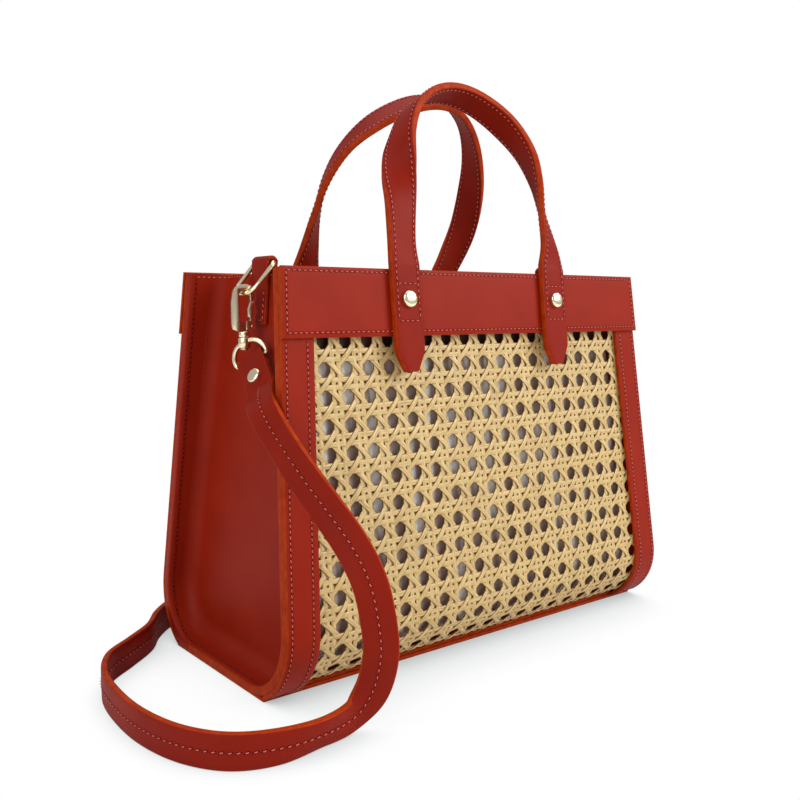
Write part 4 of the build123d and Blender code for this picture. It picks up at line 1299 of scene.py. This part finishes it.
# %% Shoulder strap
FOLD_LEAN, FOLD_SLIP, FOLD_LENGTH, FOLD_PLY = radians(34), radians(12), 21.5, 1.8
BAR_POINT = BOSS + BOW_UP * -BOW_DROP
DOWN = BOW_UP * -cos(FOLD_LEAN) + BOW_OUT * sin(FOLD_LEAN)
FALL = DOWN * cos(FOLD_SLIP) + BOW_ACROSS * sin(FOLD_SLIP)
FOLD_ACROSS = BOW_ACROSS * cos(FOLD_SLIP) - DOWN * sin(FOLD_SLIP)
LEFT_ROUTE = (
    ((-129.4, -40.3, 138.6), (0.40, -0.78, 0.47)), ((-132.7, -52.2, 132.0), (0.37, -0.80, 0.46)),
    ((-131.8, -63.1, 122.0), (0.38, -0.80, 0.44)), ((-127.6, -72.7, 109.0), (0.52, -0.75, 0.38)),
    ((-121.2, -82.4, 94.5), (0.64, -0.69, 0.29)), ((-116.0, -93.1, 80.0), (0.72, -0.63, 0.21)),
    ((-113.2, -101.3, 66.0), (0.77, -0.59, 0.15)), ((-112.0, -105.5, 51.0), (0.79, -0.58, 0.08)),
    ((-111.0, -106.0, 36.0), (0.78, -0.58, -0.05)),
)
# on edge, the strap's middle stands half its width above the floor
EDGE, ON_EDGE = STRAP_W / 2 + 0.1, (0.0, 0.0, -1.0)
LOOP = (
    (-175.5, -91.8), (-187.5, -74.0), (-193.5, -50.0), (-194.0, -24.0), (-190.5, 0.0), (-181.0, 19.5),
    (-165.0, 33.0), (-149.0, 47.0), (-137.0, 64.0), (-121.0, 78.0), (-98.0, 84.0), (-62.0, 84.5),
    (-20.0, 82.5), (25.0, 83.0),
)
FLOOR_ROUTE = (
    ((-112.5, -102.0, 20.0), (0.74, -0.35, -0.45)), ((-120.0, -98.5, 9.5), (0.50, 0.15, -0.80)),
    ((-138.0, -101.5, 8.2), (0.12, 0.35, -0.93)), ((-158.0, -100.5, EDGE), (0.0, 0.12, -1.0)),
    *(((x, y, EDGE), ON_EDGE) for x, y in LOOP),
    ((66.0, 87.5, EDGE + 0.5), (0.0, -0.12, -1.0)), ((95.0, 94.0, 13.0), (0.35, -0.30, -0.88)),
    ((109.0, 101.0, 25.0), (0.72, -0.45, -0.50)),
)

before_strap = len(all_sewing)
start = BAR_POINT + FALL * (FOLD_LENGTH - 0.5)
route = [start] + [Vector(p) for p, w in LEFT_ROUTE + FLOOR_ROUTE]
route += [turned(p) for p, w in reversed(LEFT_ROUTE)] + [turned(start)]
across = [FOLD_ACROSS] + [Vector(w) for p, w in LEFT_ROUTE + FLOOR_ROUTE]
across += [-turned(w) for p, w in reversed(LEFT_ROUTE)] + [-turned(FOLD_ACROSS)]
places = stations(route, across, 10, first=FALL, last=-turned(FALL))
strap = ribbon("shoulder_strap_leather", places, [STRAP_W] * len(places), STRAP_T, edge=0.75, crown=0.12)
seat(strap, "leather", "shoulder_strap")
for which in (-1, 1):
    off = which * (STRAP_T / 2 + 0.2)
    sew(along_path([(m + n * off, n * which) for m, w, a, n in places], STRAP_PITCH))
length = sum((q[0] - p[0]).length for p, q in zip(places, places[1:]))
print("strap of", round(length), "mm between its folds")

# %% [markdown]
# ### The strap's ends
# Each end is a ply that turns round the bow's bar and comes back to the strap. It is drawn as one long
# strip bent at the bar, because that is how it is cut. A screw with a domed head clamps the plies.

# %% The strap's ends
SCREW_AT = 13.0


def build_fold(side, t):
    """The strap's end, folded round the bar, its plies side by side down to the strap."""
    up = FOLD_ACROSS.cross(FALL)
    mid = BOW_WIRE / 2 + 0.2 + FOLD_PLY / 2
    half = FOLD_PLY / 2
    line = [(FOLD_LENGTH + 1 - k / 8 * (FOLD_LENGTH - 6.5), half + 0.02) for k in range(9)]
    line += [(3.4, half + 0.45), (1.6, half + 1.05)]
    back = [(x, -y) for x, y in reversed(line)]
    line += [(-mid * sin(a), mid * cos(a)) for a in np.linspace(0.1, pi - 0.1, 15)] + back
    pts = [t(BAR_POINT + FALL * x + up * y) for x, y in line]
    places = stations(pts, [t(FOLD_ACROSS)] * len(pts), 3)
    fold = ribbon(f"{side}_strap_fold", places, [STRAP_W] * len(places), FOLD_PLY, edge=0.45)
    seat(fold, "leather")
    out = up if up.dot(BOW_OUT) > 0 else -up
    spot = BAR_POINT + FALL * SCREW_AT
    dome = [(3.8, 0.0), (3.8, 1.4), (3.68, 1.85), (3.35, 2.2), (2.7, 2.42), (1.6, 2.58), (0.3, 2.62)]
    head = lathe(f"{side}_strap_screw_head", t(spot + out * FOLD_PLY), t(out), dome)
    seat(head, "gold_metal", f"{side}_strap_screw")
    disc = [(3.8, 0.0), (3.8, 0.6), (3.3, 0.95), (0.3, 1.0)]
    seat(lathe(f"{side}_strap_screw_back", t(spot - out * FOLD_PLY), t(-out), disc), "gold_metal")


both_sides(build_fold)

# %% [markdown]
# ## All the sewing
# Every line of sewing has only been listed so far. Now the stitches are made in three pieces: the
# bag's, the strap's, and the finer ones of the side walls.

# %% All the sewing
sewn_line("bag_sewing", all_sewing[:before_strap], thread_shape, thread)
sewn_line("strap_sewing", all_sewing[before_strap:], thread_shape, thread)
sewn_line("side_sewing", fine_sewing, fine_shape, fine_thread)
print(len(all_sewing) + len(fine_sewing), "stitches")

# %% [markdown]
# ## Finish
# The small shapes that the nodes set out have done their work.

# %% Finish
for shape in (thread_shape, fine_shape, holes_shape, cell):
    bpy.data.objects.remove(shape)
